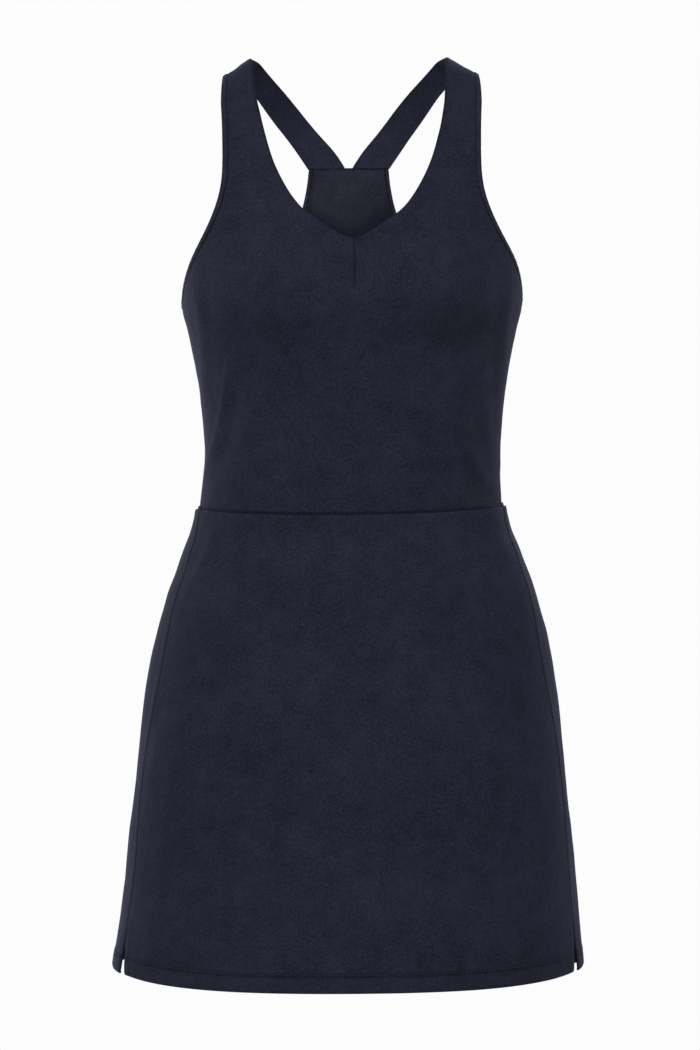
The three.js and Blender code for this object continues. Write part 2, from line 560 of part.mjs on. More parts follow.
function strap(side) {
  const sheet = new Sheet(BODICE);
  const zEnd = RACER_TOP + SEAM_GAP;
  const rows = STRAP_ROWS.map((row, i) => STRAP_COLUMNS.map((u, j) => {
    const nudge = i === 0 ? SEAM_GAP / 4 : 0;
    const x = row.outerX + (row.innerX - row.outerX) * u;
    const drop = row.outerDrop + (row.innerDrop - row.outerDrop) * u + nudge;
    const q = onSurface(BODICE, x, heightAt(x, drop), 1);
    return sheet.add(`${i}:${j}`, [side * q[0], q[1], q[2]], 1);
  }));
  rows.push(STRAP_COLUMNS.map((u, j) => {
    const x = STRAP_END.outerX + (STRAP_END.innerX - STRAP_END.outerX) * u;
    const q = onSurface(BODICE, x, zEnd, 1);
    return sheet.add(`e:${j}`, [side * q[0], q[1], q[2]], 1);
  }));
  sheet.grid(rows);
  return sheet;
}

function binding(side) {
  const sheet = new Sheet(BODICE);
  const lift = (BIND_WALL - WALL) / 2;
  const rows = PATH.map((node, i) => BIND_COLUMNS.map((u, j) => {
    const q = u === 0 ? node.p : inFromEdge(node, BIND_WIDTH * u);
    const last = i === PATH.length - 1;
    return sheet.add(`${i}:${j}`, [side * q[0], q[1], last ? RACER_TOP : q[2]], faceOf(q, node.face), BIND_WALL, lift);
  }));
  sheet.grid(rows);
  return sheet;
}

// ---- skirt ----
const hemAt = (angle, face) => HEM_LEVEL + (face < 0 ? HEM_RISE_FRONT : HEM_RISE_BACK) * Math.sin(angle) ** 5;
function skirtPanel(face) {
  const sheet = new Sheet(SKIRT);
  const seam = face < 0 ? seamFront : seamBack;
  const nudge = (face < 0 ? -1 : 1) * (SEAM_GAP / 2 / 75);
  const top = (angle) => waistAt(angle) - SEAM_GAP;
  const seamAngle = (z) => Math.acos((seam(z) / reach(SKIRT, 0, z, -1)) ** (SKIRT.square(z) / 2)) + nudge;
  const centre = face < 0 ? 0 : Math.PI;
  const rows = [];
  const addRow = (key, levelFor, seamZ, turned) => {
    const a0 = seamAngle(seamZ);
    const row = [];
    for (let k = 0; k <= SKIRT_COLUMNS; k += 1) {
      const u = Math.abs(2 * k / SKIRT_COLUMNS - 1); // 1 at the two seams, 0 at the centre
      const side = k < SKIRT_COLUMNS / 2 ? -1 : 1;
      const angle = centre + (a0 - centre) * u;
      const z = levelFor(angle);
      const at = pointAt(SKIRT, angle, z, u === 0 ? 0 : side);
      const wall = turned || (seamZ < SLIT_TOP && u === 1) ? TURN_WALL : WALL;
      row.push(sheet.add(`${key}:${k}`, at.p, at.face, wall));
    }
    rows.push(row);
  };
  SKIRT_ROWS.forEach((t, i) => {
    const seamZ = top(seamAngle(WAIST_SIDE)) + (SLIT_TOP - top(seamAngle(WAIST_SIDE))) * (t / 0.9);
    addRow(`u${i}`, (angle) => top(angle) + (SLIT_TOP - top(angle)) * (t / 0.9), seamZ, false);
  });
  SLIT_ROWS.forEach((t, i) => {
    const seamZ = SLIT_TOP + (hemAt(Math.PI / 2, face) - SLIT_TOP) * t;
    addRow(`d${i}`, (angle) => SLIT_TOP + (hemAt(angle, face) - SLIT_TOP) * t, seamZ, t > TURN_AT);
  });
  sheet.grid(rows);
  return sheet;
}

// ---- the dress ----
const cloth = (color, roughness) => new THREE.MeshStandardMaterial({ color, roughness, metalness: 0 });
const dress = new THREE.Group();
dress.name = 'tank_dress';
dress.add(bodiceFront().solid('bodice_front', cloth(0x25263a, 0.85)));
dress.add(bodiceBack().solid('bodice_back', cloth(0x232436, 0.85)));
dress.add(strap(1).solid('strap_left', cloth(0x27283c, 0.85)));
dress.add(strap(-1).solid('strap_right', cloth(0x27283c, 0.85)));
dress.add(binding(1).solid('armhole_binding_left', cloth(0x2c2d44, 0.8)));
dress.add(binding(-1).solid('armhole_binding_right', cloth(0x2c2d44, 0.8)));
dress.add(skirtPanel(-1).solid('skirt_front', cloth(0x25263a, 0.85)));
dress.add(skirtPanel(1).solid('skirt_back', cloth(0x232436, 0.85)));

export default dress;
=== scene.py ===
"""Tank dress, filled out as worn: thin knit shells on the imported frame, with bindings, seams,
dart, turned hem, stitching and soft folds. Lengths below are millimetres until a mesh is made."""

import bmesh
import bpy
import math
import numpy as np
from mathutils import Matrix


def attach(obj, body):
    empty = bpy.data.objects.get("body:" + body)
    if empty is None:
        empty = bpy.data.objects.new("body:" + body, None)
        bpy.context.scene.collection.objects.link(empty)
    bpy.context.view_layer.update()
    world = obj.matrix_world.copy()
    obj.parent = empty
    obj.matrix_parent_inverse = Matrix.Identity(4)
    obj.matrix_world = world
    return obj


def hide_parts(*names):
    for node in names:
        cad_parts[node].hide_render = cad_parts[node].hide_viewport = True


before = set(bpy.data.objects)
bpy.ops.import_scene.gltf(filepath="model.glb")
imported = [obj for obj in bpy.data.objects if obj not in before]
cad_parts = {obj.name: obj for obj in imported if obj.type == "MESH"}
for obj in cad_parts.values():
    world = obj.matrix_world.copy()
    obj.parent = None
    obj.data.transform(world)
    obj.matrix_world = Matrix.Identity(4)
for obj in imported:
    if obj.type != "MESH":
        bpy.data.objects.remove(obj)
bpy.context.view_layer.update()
rng = np.random.default_rng(11)

# ---------------------------------------------------------------- sizes
CLOTH = 1.1  # knit thickness shown
BIND_WIDTH = 5.1
CREST_SLOPE, CREST_HIGH, CREST_AT, NECK_ROUND = 0.63, 7.5, 91.0, 30.0
FADE_FROM, FADE_OVER = -130.0, 110.0
WAIST_SIDE, WAIST_DIP, WAIST_RISE = -382.6, 7.3, 2.0
HEM_LEVEL, HEM_RISE_FRONT, HEM_RISE_BACK = -784.6, 6.8, 5.6
SLIT_TOP = -745.0
RACER_TOP = -79.0
V_DROP = 158.6
DART_END = -204.0
UNDERARM = -205.5
SEAM_DROP = 6.0
NECK_ASIDE = 1.9  # the neck and the back straps sit towards the wearer's right

# level, half width, reach in front, reach behind, squareness
BODICE_SECTIONS = np.array([
    (0, 165, 0, 0, 2.3), (-4, 164.5, 15, 15, 2.3), (-8, 164, 21, 21.5, 2.3), (-15, 163, 28, 30, 2.3),
    (-25, 161.5, 35.5, 40, 2.3), (-40, 159.5, 44.5, 53, 2.3), (-60, 157, 54.5, 67.5, 2.3),
    (-80, 155.5, 63.5, 78, 2.3), (-100, 154.2, 72.5, 85.5, 2.3), (-125, 153, 83.5, 91.5, 2.3),
    (-150, 151.5, 94, 94.5, 2.3), (-176, 149.6, 103, 95.5, 2.3), (-194, 148.3, 106.5, 95, 2.3),
    (-211, 147.2, 107.5, 93.5, 2.3), (-228.5, 143, 105.5, 91.5, 2.28), (-246, 139.3, 102, 88.5, 2.25),
    (-263, 135.8, 98.5, 85.5, 2.22), (-281, 132.8, 95.5, 82.5, 2.2), (-298, 130.6, 93, 80, 2.18),
    (-316, 129.1, 91.3, 78, 2.15), (-333, 128.3, 90.3, 77, 2.15), (-350.5, 128.6, 90, 76.8, 2.12),
    (-368, 129.9, 90.8, 77.8, 2.1), (-394, 133.1, 92.6, 80, 2.1)], float)
SKIRT_SECTIONS = np.array([
    (-376, 133.2, 93.2, 80.6, 2.1), (-403, 139.5, 96.2, 86, 2.1), (-420, 146, 99, 92, 2.12),
    (-438, 152.5, 102, 98, 2.14), (-455, 159.1, 105, 103.5, 2.16), (-472.6, 164.5, 107.5, 108.5, 2.18),
    (-490, 169.2, 110, 113, 2.14), (-507.5, 173, 112, 116.5, 2.11), (-525, 176.3, 114, 119.3, 2.1),
    (-542, 178.8, 116, 121.5, 2.12), (-560, 180.9, 118, 123, 2.17), (-595, 184.2, 121.5, 125.2, 2.28),
    (-630, 187.7, 125, 127, 2.28), (-665, 191.7, 128.5, 129, 2.18), (-700, 195.3, 132, 131, 2.14),
    (-734, 199.3, 135.5, 133.5, 2.14), (-769, 203.6, 139, 136, 2.14), (-792, 205.8, 141, 138, 2.14)], float)
ARMHOLE_FRONT = np.array([
    (0, 111.4), (12.6, 112.4), (24.2, 112.6), (39.3, 111.9), (54.4, 111.3), (69.4, 111), (84.2, 110.8),
    (95.8, 111.1), (107.2, 112.2), (118.2, 114.4), (128.8, 117.7), (139, 121.9), (149.1, 126.9),
    (158.9, 132.3), (171.8, 139.2), (179.8, 142.5), (187.8, 145), (195.6, 146.7), (201, 147.4)], float)
NECKLINE = np.array([
    (0, 85.7), (4.1, 84.8), (14.9, 84), (29.9, 82.9), (44.1, 81.4), (55.3, 79.3), (65.8, 77.1), (75.8, 74.4),
    (85.2, 71.5), (94.3, 68), (103.2, 63.5), (112, 58.1), (121.2, 51.5), (131.3, 42.9), (136.7, 36.6),
    (142, 29.1), (147.7, 21.4), (151.1, 16.2), (156.5, 6.7), (158.6, 0)], float)
ARMHOLE_BACK = np.array([  # x, level, matching level on the centre back line
    (142.4, -204.4, -207), (131, -201, -199), (115.5, -194.4, -190), (98.5, -185.4, -180.5),
    (84.5, -176.4, -170), (73.2, -165.8, -161), (64, -155.4, -152), (56.4, -145, -143), (50.2, -134.6, -134),
    (45.4, -124, -124), (41.6, -113.5, -113.5), (39.1, -103, -103), (37.2, -92, -92), (35.8, -79, -79)], float)
STRAP_ROWS = np.array([  # inner x, inner drop, outer x, outer drop
    (78.4, 6, 101.5, 6), (75.4, 10.8, 95.6, 10.9), (71.9, 16.4, 89.2, 17), (65, 27, 82.8, 26.6),
    (58.3, 37.2, 76.7, 37.6), (52, 47.1, 70.8, 48.4), (45.8, 57, 64.8, 58.5), (39.7, 66.2, 58.8, 67.3),
    (33.5, 74.6, 52.8, 75.3), (27.2, 81.7, 47, 82.8), (20.5, 87.7, 42.2, 88.3), (12.5, 93, 38.6, 92)], float)
SKIRT_SEAM = np.array([  # level, front edge and back edge ahead of the side line
    (-376, 23, 23), (-403, 31, 31), (-440, 38, 38), (-470, 42, 42), (-497, 45, 45), (-522, 46, 46),
    (-570, 45, 45), (-600, 43.5, 43.5), (-630, 43, 43), (-660, 44, 44), (-708, 46, 46), (-745, 47, 47),
    (-765, 51, 45), (-792, 57, 42.5)], float)
BODICE_SEAM = np.array([(-200, 7), (-300, 5), (-394, 0.5)], float)
LEAN = np.array([  # level, rise for each mm towards the wearer's left
    (0, 0.011), (-200, 0.011), (-400, 0.0125), (-560, 0.009), (-792, 0.004)], float)
SWAY = np.array([  # level, how far it lies towards the wearer's left
    (0, 0), (-110, 0), (-150, 0.4), (-182, 1.2), (-240, 1.3), (-275, 1.8), (-310, 2.2), (-342, 1.8), (-378, 0.4),
    (-400, 0.6), (-428, 1.3), (-470, 1.1), (-510, 0.5), (-690, 0.4), (-727, -0.5), (-777, -1.6), (-792, -1.8)], float)
FULLNESS = dict(across=72.0, level=-204.0, high=12.5, wide=46.0, tall=41.0)


# ---------------------------------------------------------------- curves and the form
def curve(xs, ys):
    """Monotone cubic through a table's column."""
    x, y = np.asarray(xs, float), np.asarray(ys, float)
    o = np.argsort(x)
    x, y = x[o], y[o]
    h = np.diff(x)
    d = np.diff(y) / h
    m = np.empty(len(x))
    m[0], m[-1] = d[0], d[-1]
    for i in range(1, len(x) - 1):
        m[i] = 0 if d[i - 1] * d[i] <= 0 else 3 * (h[i - 1] + h[i]) / (
            (2 * h[i] + h[i - 1]) / d[i - 1] + (h[i] + 2 * h[i - 1]) / d[i])

    def f(t):
        t = np.clip(np.asarray(t, float), x[0], x[-1])
        i = np.clip(np.searchsorted(x, t, side="right") - 1, 0, len(x) - 2)
        s = (t - x[i]) / h[i]
        s2, s3 = s * s, s * s * s
        return ((2 * s3 - 3 * s2 + 1) * y[i] + (s3 - 2 * s2 + s) * h[i] * m[i]
                + (3 * s2 - 2 * s3) * y[i + 1] + (s3 - s2) * h[i] * m[i + 1])
    return f


class Form:
    def __init__(self, t, shoulder):
        self.half, self.square = curve(t[:, 0], t[:, 1]), curve(t[:, 0], t[:, 4])
        self.front2, self.back2 = curve(t[:, 0], t[:, 2] ** 2), curve(t[:, 0], t[:, 3] ** 2)
        self.shoulder = shoulder


BODICE, SKIRT = Form(BODICE_SECTIONS, True), Form(SKIRT_SECTIONS, False)
armhole_x = curve(ARMHOLE_FRONT[:, 0], ARMHOLE_FRONT[:, 1])
neck_x = curve(NECKLINE[:, 0], NECKLINE[:, 1])
seam_front = curve(SKIRT_SEAM[:, 0], SKIRT_SEAM[:, 1])
seam_back = curve(SKIRT_SEAM[:, 0], SKIRT_SEAM[:, 2])
seam_behind = curve(BODICE_SEAM[:, 0], BODICE_SEAM[:, 1])
sway = curve(SWAY[:, 0], SWAY[:, 1])
lean = curve(LEAN[:, 0], LEAN[:, 1])


def hang(p):
    """The slight lean and sway that the dress hangs with; the neck sits a little to one side."""
    x, y, z = p[:, 0], p[:, 1], p[:, 2]
    behind = smooth(y / 20)
    near = (smooth((z + 60) / 60) * (1 - behind) + smooth((z + 72) / 56) * behind) * smooth((106 - np.abs(x)) / 18)
    return np.stack([x + sway(z) - NECK_ASIDE * near, y, z + lean(z) * x], -1)


def smooth(t):
    s = np.clip(t, 0, 1)
    return s * s * (3 - 2 * s)


def crest_height(x):
    return CREST_HIGH - CREST_SLOPE * (np.hypot(x, NECK_ROUND) - CREST_AT)


def crest_share(z):
    return smooth((z - FADE_FROM) / FADE_OVER)


def level_of(x, z):
    return z - crest_share(z) * crest_height(x)


def height_at(x, drop):
    x, drop = np.broadcast_arrays(np.asarray(x, float), np.asarray(drop, float))
    z = -drop.copy()
    for _ in range(60):
        z = z + 0.6 * (crest_share(z) * crest_height(x) - drop - z)
    return z


def fullness(x, z):
    f = FULLNESS
    return f["high"] * np.exp(-((np.abs(x) - f["across"]) / f["wide"]) ** 2 - ((z - f["level"]) / f["tall"]) ** 2)


def reach(form, x, z, face):
    lv = np.minimum(level_of(x, z), 0) if form.shoulder else z
    b = np.sqrt(np.maximum(np.where(face < 0, form.front2(lv), form.back2(lv)), 0))
    return b + np.where(face < 0, fullness(x, z), 0) if form.shoulder else b


def outside(form, p, face):
    x, y, z = p[..., 0], p[..., 1], p[..., 2]
    lv = level_of(x, z) if form.shoulder else z
    n, a = form.square(lv), form.half(lv)
    r = np.abs(x) / a
    far = r ** n + (np.abs(y) / np.maximum(reach(form, x, z, face), 1e-6)) ** n - 1
    if not form.shoulder:
        return far
    b2 = np.where(lv > 0, -lv * 60, np.where(face < 0, form.front2(lv), form.back2(lv)))
    near = y * y - b2 * np.maximum(1 - r ** n, 0) ** (2 / n)
    return np.where(lv > -60, near, far)


def normals(form, p, face):
    g = []
    for k in range(3):
        e = np.zeros(3)
        e[k] = 0.2
        g.append(outside(form, p + e, face) - outside(form, p - e, face))
    g = np.stack(g, -1)
    return g / np.linalg.norm(g, axis=-1, keepdims=True)


def point_at(form, angle, z):
    angle, z = np.broadcast_arrays(np.asarray(angle, float), np.asarray(z, float))
    face = np.where(angle <= math.pi / 2, -1, 1)
    turn = np.where(face < 0, angle, math.pi - angle)
    x = np.zeros_like(z)
    for _ in range(30 if form.shoulder else 1):
        lv = np.minimum(level_of(x, z), 0) if form.shoulder else z
        x = form.half(lv) * np.maximum(np.sin(turn), 0) ** (2 / form.square(lv))
    lv = np.minimum(level_of(x, z), 0) if form.shoulder else z
    y = face * reach(form, x, z, face) * np.maximum(np.cos(turn), 0) ** (2 / form.square(lv))
    return np.stack([x, y, z], -1), face


def on_surface(form, x, z, face):
    lv = np.minimum(level_of(x, z), 0) if form.shoulder else z
    n = form.square(lv)
    y = face * reach(form, x, z, face) * np.maximum(1 - (np.abs(x) / form.half(lv)) ** n, 0) ** (1 / n)
    return np.stack(np.broadcast_arrays(x, y, z), -1)


def angle_for(form, x, y, z):
    lv = np.minimum(level_of(x, z), 0) if form.shoulder else z
    turn = np.arcsin(np.minimum(np.abs(x) / form.half(lv), 1) ** (form.square(lv) / 2))
    return np.where(y <= 0, turn, math.pi - turn)


def angle_behind(form, behind, z):
    lv = level_of(np.zeros_like(z), z) if form.shoulder else z
    return math.pi / 2 + np.arcsin((behind / np.sqrt(form.back2(lv))) ** (form.square(lv) / 2))


def project(form, p, face):
    q = np.array(p, float)
    for _ in range(6):
        f = np.where(np.abs(q[..., 1]) < 1e-6, face, np.sign(q[..., 1]))
        n = normals(form, q, f)
        here, there = outside(form, q, f), outside(form, q + n * 0.1, f)
        step = np.clip(-here * 0.1 / np.where(np.abs(there - here) < 1e-12, 1e-12, there - here), -1, 1)
        q = q + n * step[..., None]
    return q


def face_of(p, fallback=-1):
    return np.where(np.abs(p[..., 1]) < 1e-6, fallback, np.sign(p[..., 1]))


def waist_at(angle):
    return WAIST_SIDE - np.where(angle <= math.pi / 2, WAIST_DIP * np.abs(np.cos(angle)) ** 1.2,
                                 -WAIST_RISE * np.abs(np.cos(angle)) ** 1.5)


# ---------------------------------------------------------------- edges as dense paths
def resample(points, count=None, at=None):
    """Points at equal steps, or at given lengths, along a smooth curve through points."""
    d = np.r_[0, np.cumsum(np.linalg.norm(np.diff(points, axis=0), axis=1))]
    fs = [curve(d, points[:, k]) for k in range(points.shape[1])]
    t = np.linspace(0, d[-1], count) if at is None else at
    return np.stack([f(t) for f in fs], -1)


FRONT_DROPS = [1, 3.5, 8, 15, 25, 38, 52, 66, 80, 94, 107, 119, 129, 136.7, 144, 151, 158.6, 165, 172, 180, 188, 195, 201]
coarse = [on_surface(BODICE, 101.5, float(height_at(101.5, SEAM_DROP)), 1),
          on_surface(BODICE, 107.3, float(height_at(107.3, 2)), 1),
          np.array([111.4, 0, float(height_at(111.4, 0))])]
for d in FRONT_DROPS:
    coarse.append(on_surface(BODICE, float(armhole_x(d)), float(height_at(armhole_x(d), d)), -1))
coarse.append(point_at(BODICE, angle_behind(BODICE, seam_behind(UNDERARM), np.array(UNDERARM)), UNDERARM)[0])
I_V, I_UNDER = 3 + FRONT_DROPS.index(158.6), len(coarse) - 1
for x, lv, _ in ARMHOLE_BACK:
    coarse.append(on_surface(BODICE, x, lv, 1))
coarse = np.array([np.ravel(c) for c in coarse])
seg = np.r_[0, np.cumsum(np.linalg.norm(np.diff(coarse, axis=0), axis=1))]
path_curves = [curve(seg, coarse[:, k]) for k in range(3)]


def armhole(s):
    """The armhole edge at lengths s from the strap seam, its normal and the way in."""
    def raw(t):
        t = np.clip(t, 0, seg[-1])
        q = np.stack([f(t) for f in path_curves], -1)
        return project(BODICE, q, face_of(q))
    s = np.asarray(s, float)
    p = raw(s)
    n = normals(BODICE, p, face_of(p))
    t = raw(s + 1.5) - raw(s - 1.5)
    inward = np.cross(t, n)
    inward /= np.linalg.norm(inward, axis=-1, keepdims=True)
    first, last = s < 0.5, s > seg[-1] - 0.5
    target = on_surface(BODICE, 78.4, float(height_at(78.4, SEAM_DROP)), 1)
    v = target - p
    v /= np.linalg.norm(v, axis=-1, keepdims=True)
    inward = np.where(first[..., None], v, inward)
    inward = np.where(last[..., None], np.array([-1.0, 0, 0]), inward)
    return p, n, inward


S_CREST, S_V, S_UNDER, S_TOP = seg[2], seg[I_V], seg[I_UNDER], seg[-1]


def armhole_in(s, way):
    p, n, inward = armhole(s)
    return project(BODICE, p + inward * way, face_of(p))


# ---------------------------------------------------------------- soft folds
# face, x0, level0, x1, level1, height, width to one side, width to the other side
FOLDS = [
    (-1, -108, -266, -127.8, -352, 1.15, 1.9, 4.2),
    (-1, -99, -280, -117, -356, -1.5, 6.5, 9),
    (-1, -112, -348, -124, -382, 0.7, 5, 9),
    (-1, -133, -196, -129, -312, 1.2, 3.5, 7),
    (-1, -126, -200, -121, -290, -0.9, 5, 7),
    (-1, -118, -262, -121, -300, 0.5, 5, 7),
    (-1, -104, -300, -112, -338, -0.6, 6, 6),
    (-1, 95, -336, 121, -368, 1.1, 4, 7),
    (-1, 84, -330, 110, -376, -1.3, 7, 8),
    (-1, 135, -200, 130, -262, 1.1, 6, 3.5),
    (-1, 126, -206, 120, -300, -0.9, 8, 5),
    (-1, 112, -300, 121, -352, 0.9, 6, 9),
    (-1, 104, -290, 112, -340, -0.8, 8, 8),
    (-1, 140, -186, 133, -214, 0.8, 5, 8),
    (-1, -140, -184, -134, -214, 0.8, 8, 5),
    (-1, -66, -248, -106, -237, -4.6, 15, 19),
    (-1, 56, -248, 112, -240, -6.0, 15, 20),
    (-1, -22, -246, 24, -250, -1.5, 15, 15),
    (-1, -30, -128, -96, -96, -0.35, 9, 9),
    (-1, 34, -130, 98, -92, -0.35, 9, 9),
    (-1, -94, 2, -92, -22, 0.6, 2.2, 3),
    (-1, 93, 4, 91, -24, 0.6, 3, 2.2),
    (-1, -101, -2, -100, -26, -0.4, 3, 3),
    (-1, 100, 0, 99, -26, -0.4, 3, 3),
    (1, -60, -300, -118, -344, 1.8, 8, 11),
    (1, -44, -316, -112, -366, -1.3, 10, 10),
    (1, 56, -306, 117, -350, 1.8, 8, 11),
    (1, 40, -322, 110, -372, -1.2, 10, 10),
    (1, -30, -344, 34, -348, 1.0, 9, 9),
    (1, -104, -214, -128, -262, 0.9, 8, 8),
    (1, 102, -218, 127, -268, 0.9, 8, 8),
]
SKIRT_FOLDS = [
    (-1, -118, -400, -140, -452, 1.2, 5, 9),
    (-1, 120, -396, 146, -462, 1.1, 7, 10),
    (-1, -150, -560, -168, -770, 1.6, 16, 24),
    (-1, 152, -540, 172, -765, 1.6, 16, 24),
    (-1, -70, -560, -92, -775, 1.3, 26, 30),
    (-1, 76, -590, 96, -775, 1.2, 26, 30),
    (-1, -128, -520, -140, -640, -1.0, 14, 18),
    (-1, 8, -640, 2, -780, -0.8, 28, 28),
    (1, -104, -400, -140, -470, 1.6, 9, 14),
    (1, 100, -404, 138, -476, 1.6, 9, 14),
    (1, -60, -560, -88, -775, 1.8, 24, 30),
    (1, 66, -560, 92, -775, 1.8, 24, 30),
    (1, 4, -600, -4, -778, -1.4, 26, 26),
    (1, -140, -560, -166, -770, 1.6, 18, 24),
    (1, 142, -560, 168, -770, 1.6, 18, 24),
]


def fold_height(p, face, folds):
    x, z = p[..., 0], p[..., 2]
    h = np.zeros(x.shape)
    for f, x0, z0, x1, z1, high, left, right in folds:
        dx, dz = x1 - x0, z1 - z0
        ln = math.hypot(dx, dz)
        along = ((x - x0) * dx + (z - z0) * dz) / (ln * ln)
        off = -((x - x0) * dz - (z - z0) * dx) / ln  # to the viewer's right of a falling fold
        bow = 2.2 * np.sin(np.clip(along, 0, 1) * math.pi) * (1 if x0 < 0 else -1)
        off = off - bow
        ends = smooth((along + 0.4) / 0.7) * smooth((1.4 - along) / 0.7)
        wide = np.where(off > 0, right, left)
        h = h + np.where(face == f, high * ends * np.exp(-(off / wide) ** 2), 0)
    return h


def wander(p, seed, scale, octaves=3):
    """Smooth uneven height from a few sine waves, the same on every run."""
    r = np.random.default_rng(seed)
    h = np.zeros(p.shape[:-1])
    for k in range(octaves):
        for _ in range(4):
            w = r.normal(size=3)
            w *= (2 ** k) / (scale * np.linalg.norm(w))
            h += np.sin(p @ w * 2 * math.pi + r.uniform(0, 6.28)) * 0.5 ** k / 4
    return h


# ---------------------------------------------------------------- shells
def spread(total, start, end, step):
    """Distances along a row: named fine ones at both ends, even ones between."""
    a, b = np.array(start, float), total - np.array(end, float)[::-1]
    return a, b, step


def row_points(sample, start, end, middle):
    """Points of one row at fixed distances from its two ends and even steps between."""
    d = np.r_[0, np.cumsum(np.linalg.norm(np.diff(sample, axis=0), axis=1))]
    total = d[-1]
    limit = total * 0.42
    a = np.array(start, float)
    b = np.array(end, float)
    a = a * min(1, limit / max(a[-1], 1e-9))
    b = b * min(1, limit / max(b[-1], 1e-9))
    mid = np.linspace(a[-1], total - b[-1], middle + 2)[1:-1]
    s = np.r_[a, mid, (total - b)[::-1]]
    out = np.stack([np.interp(s, d, sample[:, k]) for k in range(3)], -1)
    return out, s, total


class Shell:
    """A closed thin cloth shell from grids of points: outside, rounded edges, inside."""

    def __init__(self, name):
        self.name = name
        self.p, self.n, self.t, self.uv, self.quads = [], [], [], [], []
        # per-point painted shade, on the outside and on the inside
        self.dark, self.dark_in = [], []
        self.count = 0

    def grid(self, p, n, t, uv, index=None, dark=0.0, dark_in=0.0):
        r, c = p.shape[:2]
        own = np.arange(self.count, self.count + r * c).reshape(r, c)
        if index is not None:
            mask, ref = index
            own = np.where(mask, ref, own)
        self.p.append(p.reshape(-1, 3))
        self.n.append(n.reshape(-1, 3))
        self.t.append(np.broadcast_to(t, (r, c)).reshape(-1))
        self.uv.append(uv.reshape(-1, 2))
        self.dark.append(np.broadcast_to(dark, (r, c)).reshape(-1))
        self.dark_in.append(np.broadcast_to(dark_in, (r, c)).reshape(-1))
        self.count += r * c
        a, b, cc, d = own[:-1, :-1], own[:-1, 1:], own[1:, 1:], own[1:, :-1]
        self.quads.append(np.stack([a, b, cc, d], -1).reshape(-1, 4))
        return own

    def build(self, rings=3, round_edge=1.0, rim_dark=0.45):
        p, n = np.concatenate(self.p), np.concatenate(self.n)
        t, uv = np.concatenate(self.t), np.concatenate(self.uv)
        dark, dark_in = np.concatenate(self.dark), np.concatenate(self.dark_in)
        quads = np.concatenate(self.quads)
        used = np.unique(quads)
        remap = np.full(len(p), -1)
        remap[used] = np.arange(len(used))
        p, n, t, uv, quads = p[used], n[used], t[used], uv[used], remap[quads]
        dark, dark_in = dark[used], dark_in[used]
        # face outward
        fn = np.cross(p[quads[:, 2]] - p[quads[:, 0]], p[quads[:, 3]] - p[quads[:, 1]])
        flip = (fn * n[quads[:, 0]]).sum(1) < 0
        quads[flip] = quads[flip][:, ::-1]
        count = len(p)
        edges = np.concatenate([quads[:, [0, 1]], quads[:, [1, 2]], quads[:, [2, 3]], quads[:, [3, 0]]])
        key = edges[:, 0].astype(np.int64) * count + edges[:, 1]
        back = edges[:, 1].astype(np.int64) * count + edges[:, 0]
        rim = edges[~np.isin(key, back)]
        inner = p - n * t[:, None]
        out = np.zeros((count, 3))
        e = p[rim[:, 1]] - p[rim[:, 0]]
        e /= np.maximum(np.linalg.norm(e, axis=1, keepdims=True), 1e-9)
        side = np.cross(e, n[rim[:, 0]])
        np.add.at(out, rim[:, 0], side)
        np.add.at(out, rim[:, 1], side)
        rim_ids = np.unique(rim)
        out[rim_ids] /= np.maximum(np.linalg.norm(out[rim_ids], axis=1, keepdims=True), 1e-9)
        verts, uvs = [p, inner], [uv, uv]
        tones = [dark, dark_in]
        base = 2 * count
        ring_index = []
        for k in range(1, rings + 1):
            th = math.pi * k / (rings + 1)
            mid = (p[rim_ids] + inner[rim_ids]) / 2
            half = t[rim_ids, None] / 2
            verts.append(mid + n[rim_ids] * half * math.cos(th) + out[rim_ids] * half * math.sin(th) * round_edge)
            uvs.append(uv[rim_ids])
            # the rounded edges get at least rim_dark of painted shade
            tones.append(np.maximum(np.maximum(dark[rim_ids], dark_in[rim_ids]), rim_dark))
            m = np.full(count, -1)
            m[rim_ids] = base + np.arange(len(rim_ids))
            ring_index.append(m)
            base += len(rim_ids)
        ladder = [np.arange(count)] + ring_index + [np.arange(count) + count]
        walls = []
        for k in range(len(ladder) - 1):
            u, d = ladder[k], ladder[k + 1]
            walls.append(np.stack([u[rim[:, 1]], u[rim[:, 0]], d[rim[:, 0]], d[rim[:, 1]]], -1))
        faces = np.concatenate([quads, quads[:, ::-1] + count] + walls)
        reverse = np.zeros(len(faces), int)
        reverse[len(quads):2 * len(quads)] = 1
        return make_mesh(self.name, np.concatenate(verts), faces, np.concatenate(uvs), np.concatenate(tones), reverse)


def make_mesh(name, verts, faces, uvs=None, tones=None, reverse=None):
    """Quads (or triangles as quads with a doubled corner) to a smooth mesh, in metres."""
    mesh = bpy.data.meshes.new(name)
    polys, kept = [], []
    for k, f in enumerate(faces.tolist()):
        g = [f[i] for i in range(len(f)) if f[i] != f[i - 1]]
        if len(set(g)) >= 3:
            polys.append(g)
            kept.append(k)
    mesh.from_pydata((hang(verts) * 0.001).tolist(), [], polys)
    # painted shade per point, read by the knit materials to darken their colour
    if tones is not None:
        mesh.attributes.new("painted_seam_shade", "FLOAT", "POINT").data.foreach_set("value", np.clip(tones, 0, 1).astype(np.float32))
    if reverse is not None:
        mesh.polygons.foreach_set("material_index", reverse[kept].astype(np.int32))
    if uvs is not None:
        layer = mesh.uv_layers.new(name="UVMap")
        loops = np.empty(len(mesh.loops), dtype=np.int32)
        mesh.loops.foreach_get("vertex_index", loops)
        layer.data.foreach_set("uv", (uvs[loops] * 0.001).astype(np.float32).ravel())
    mesh.polygons.foreach_set("use_smooth", [True] * len(mesh.polygons))
    mesh.validate()
    mesh.update()
    obj = bpy.data.objects.new(name, mesh)
    bpy.context.scene.collection.objects.link(obj)
    return obj


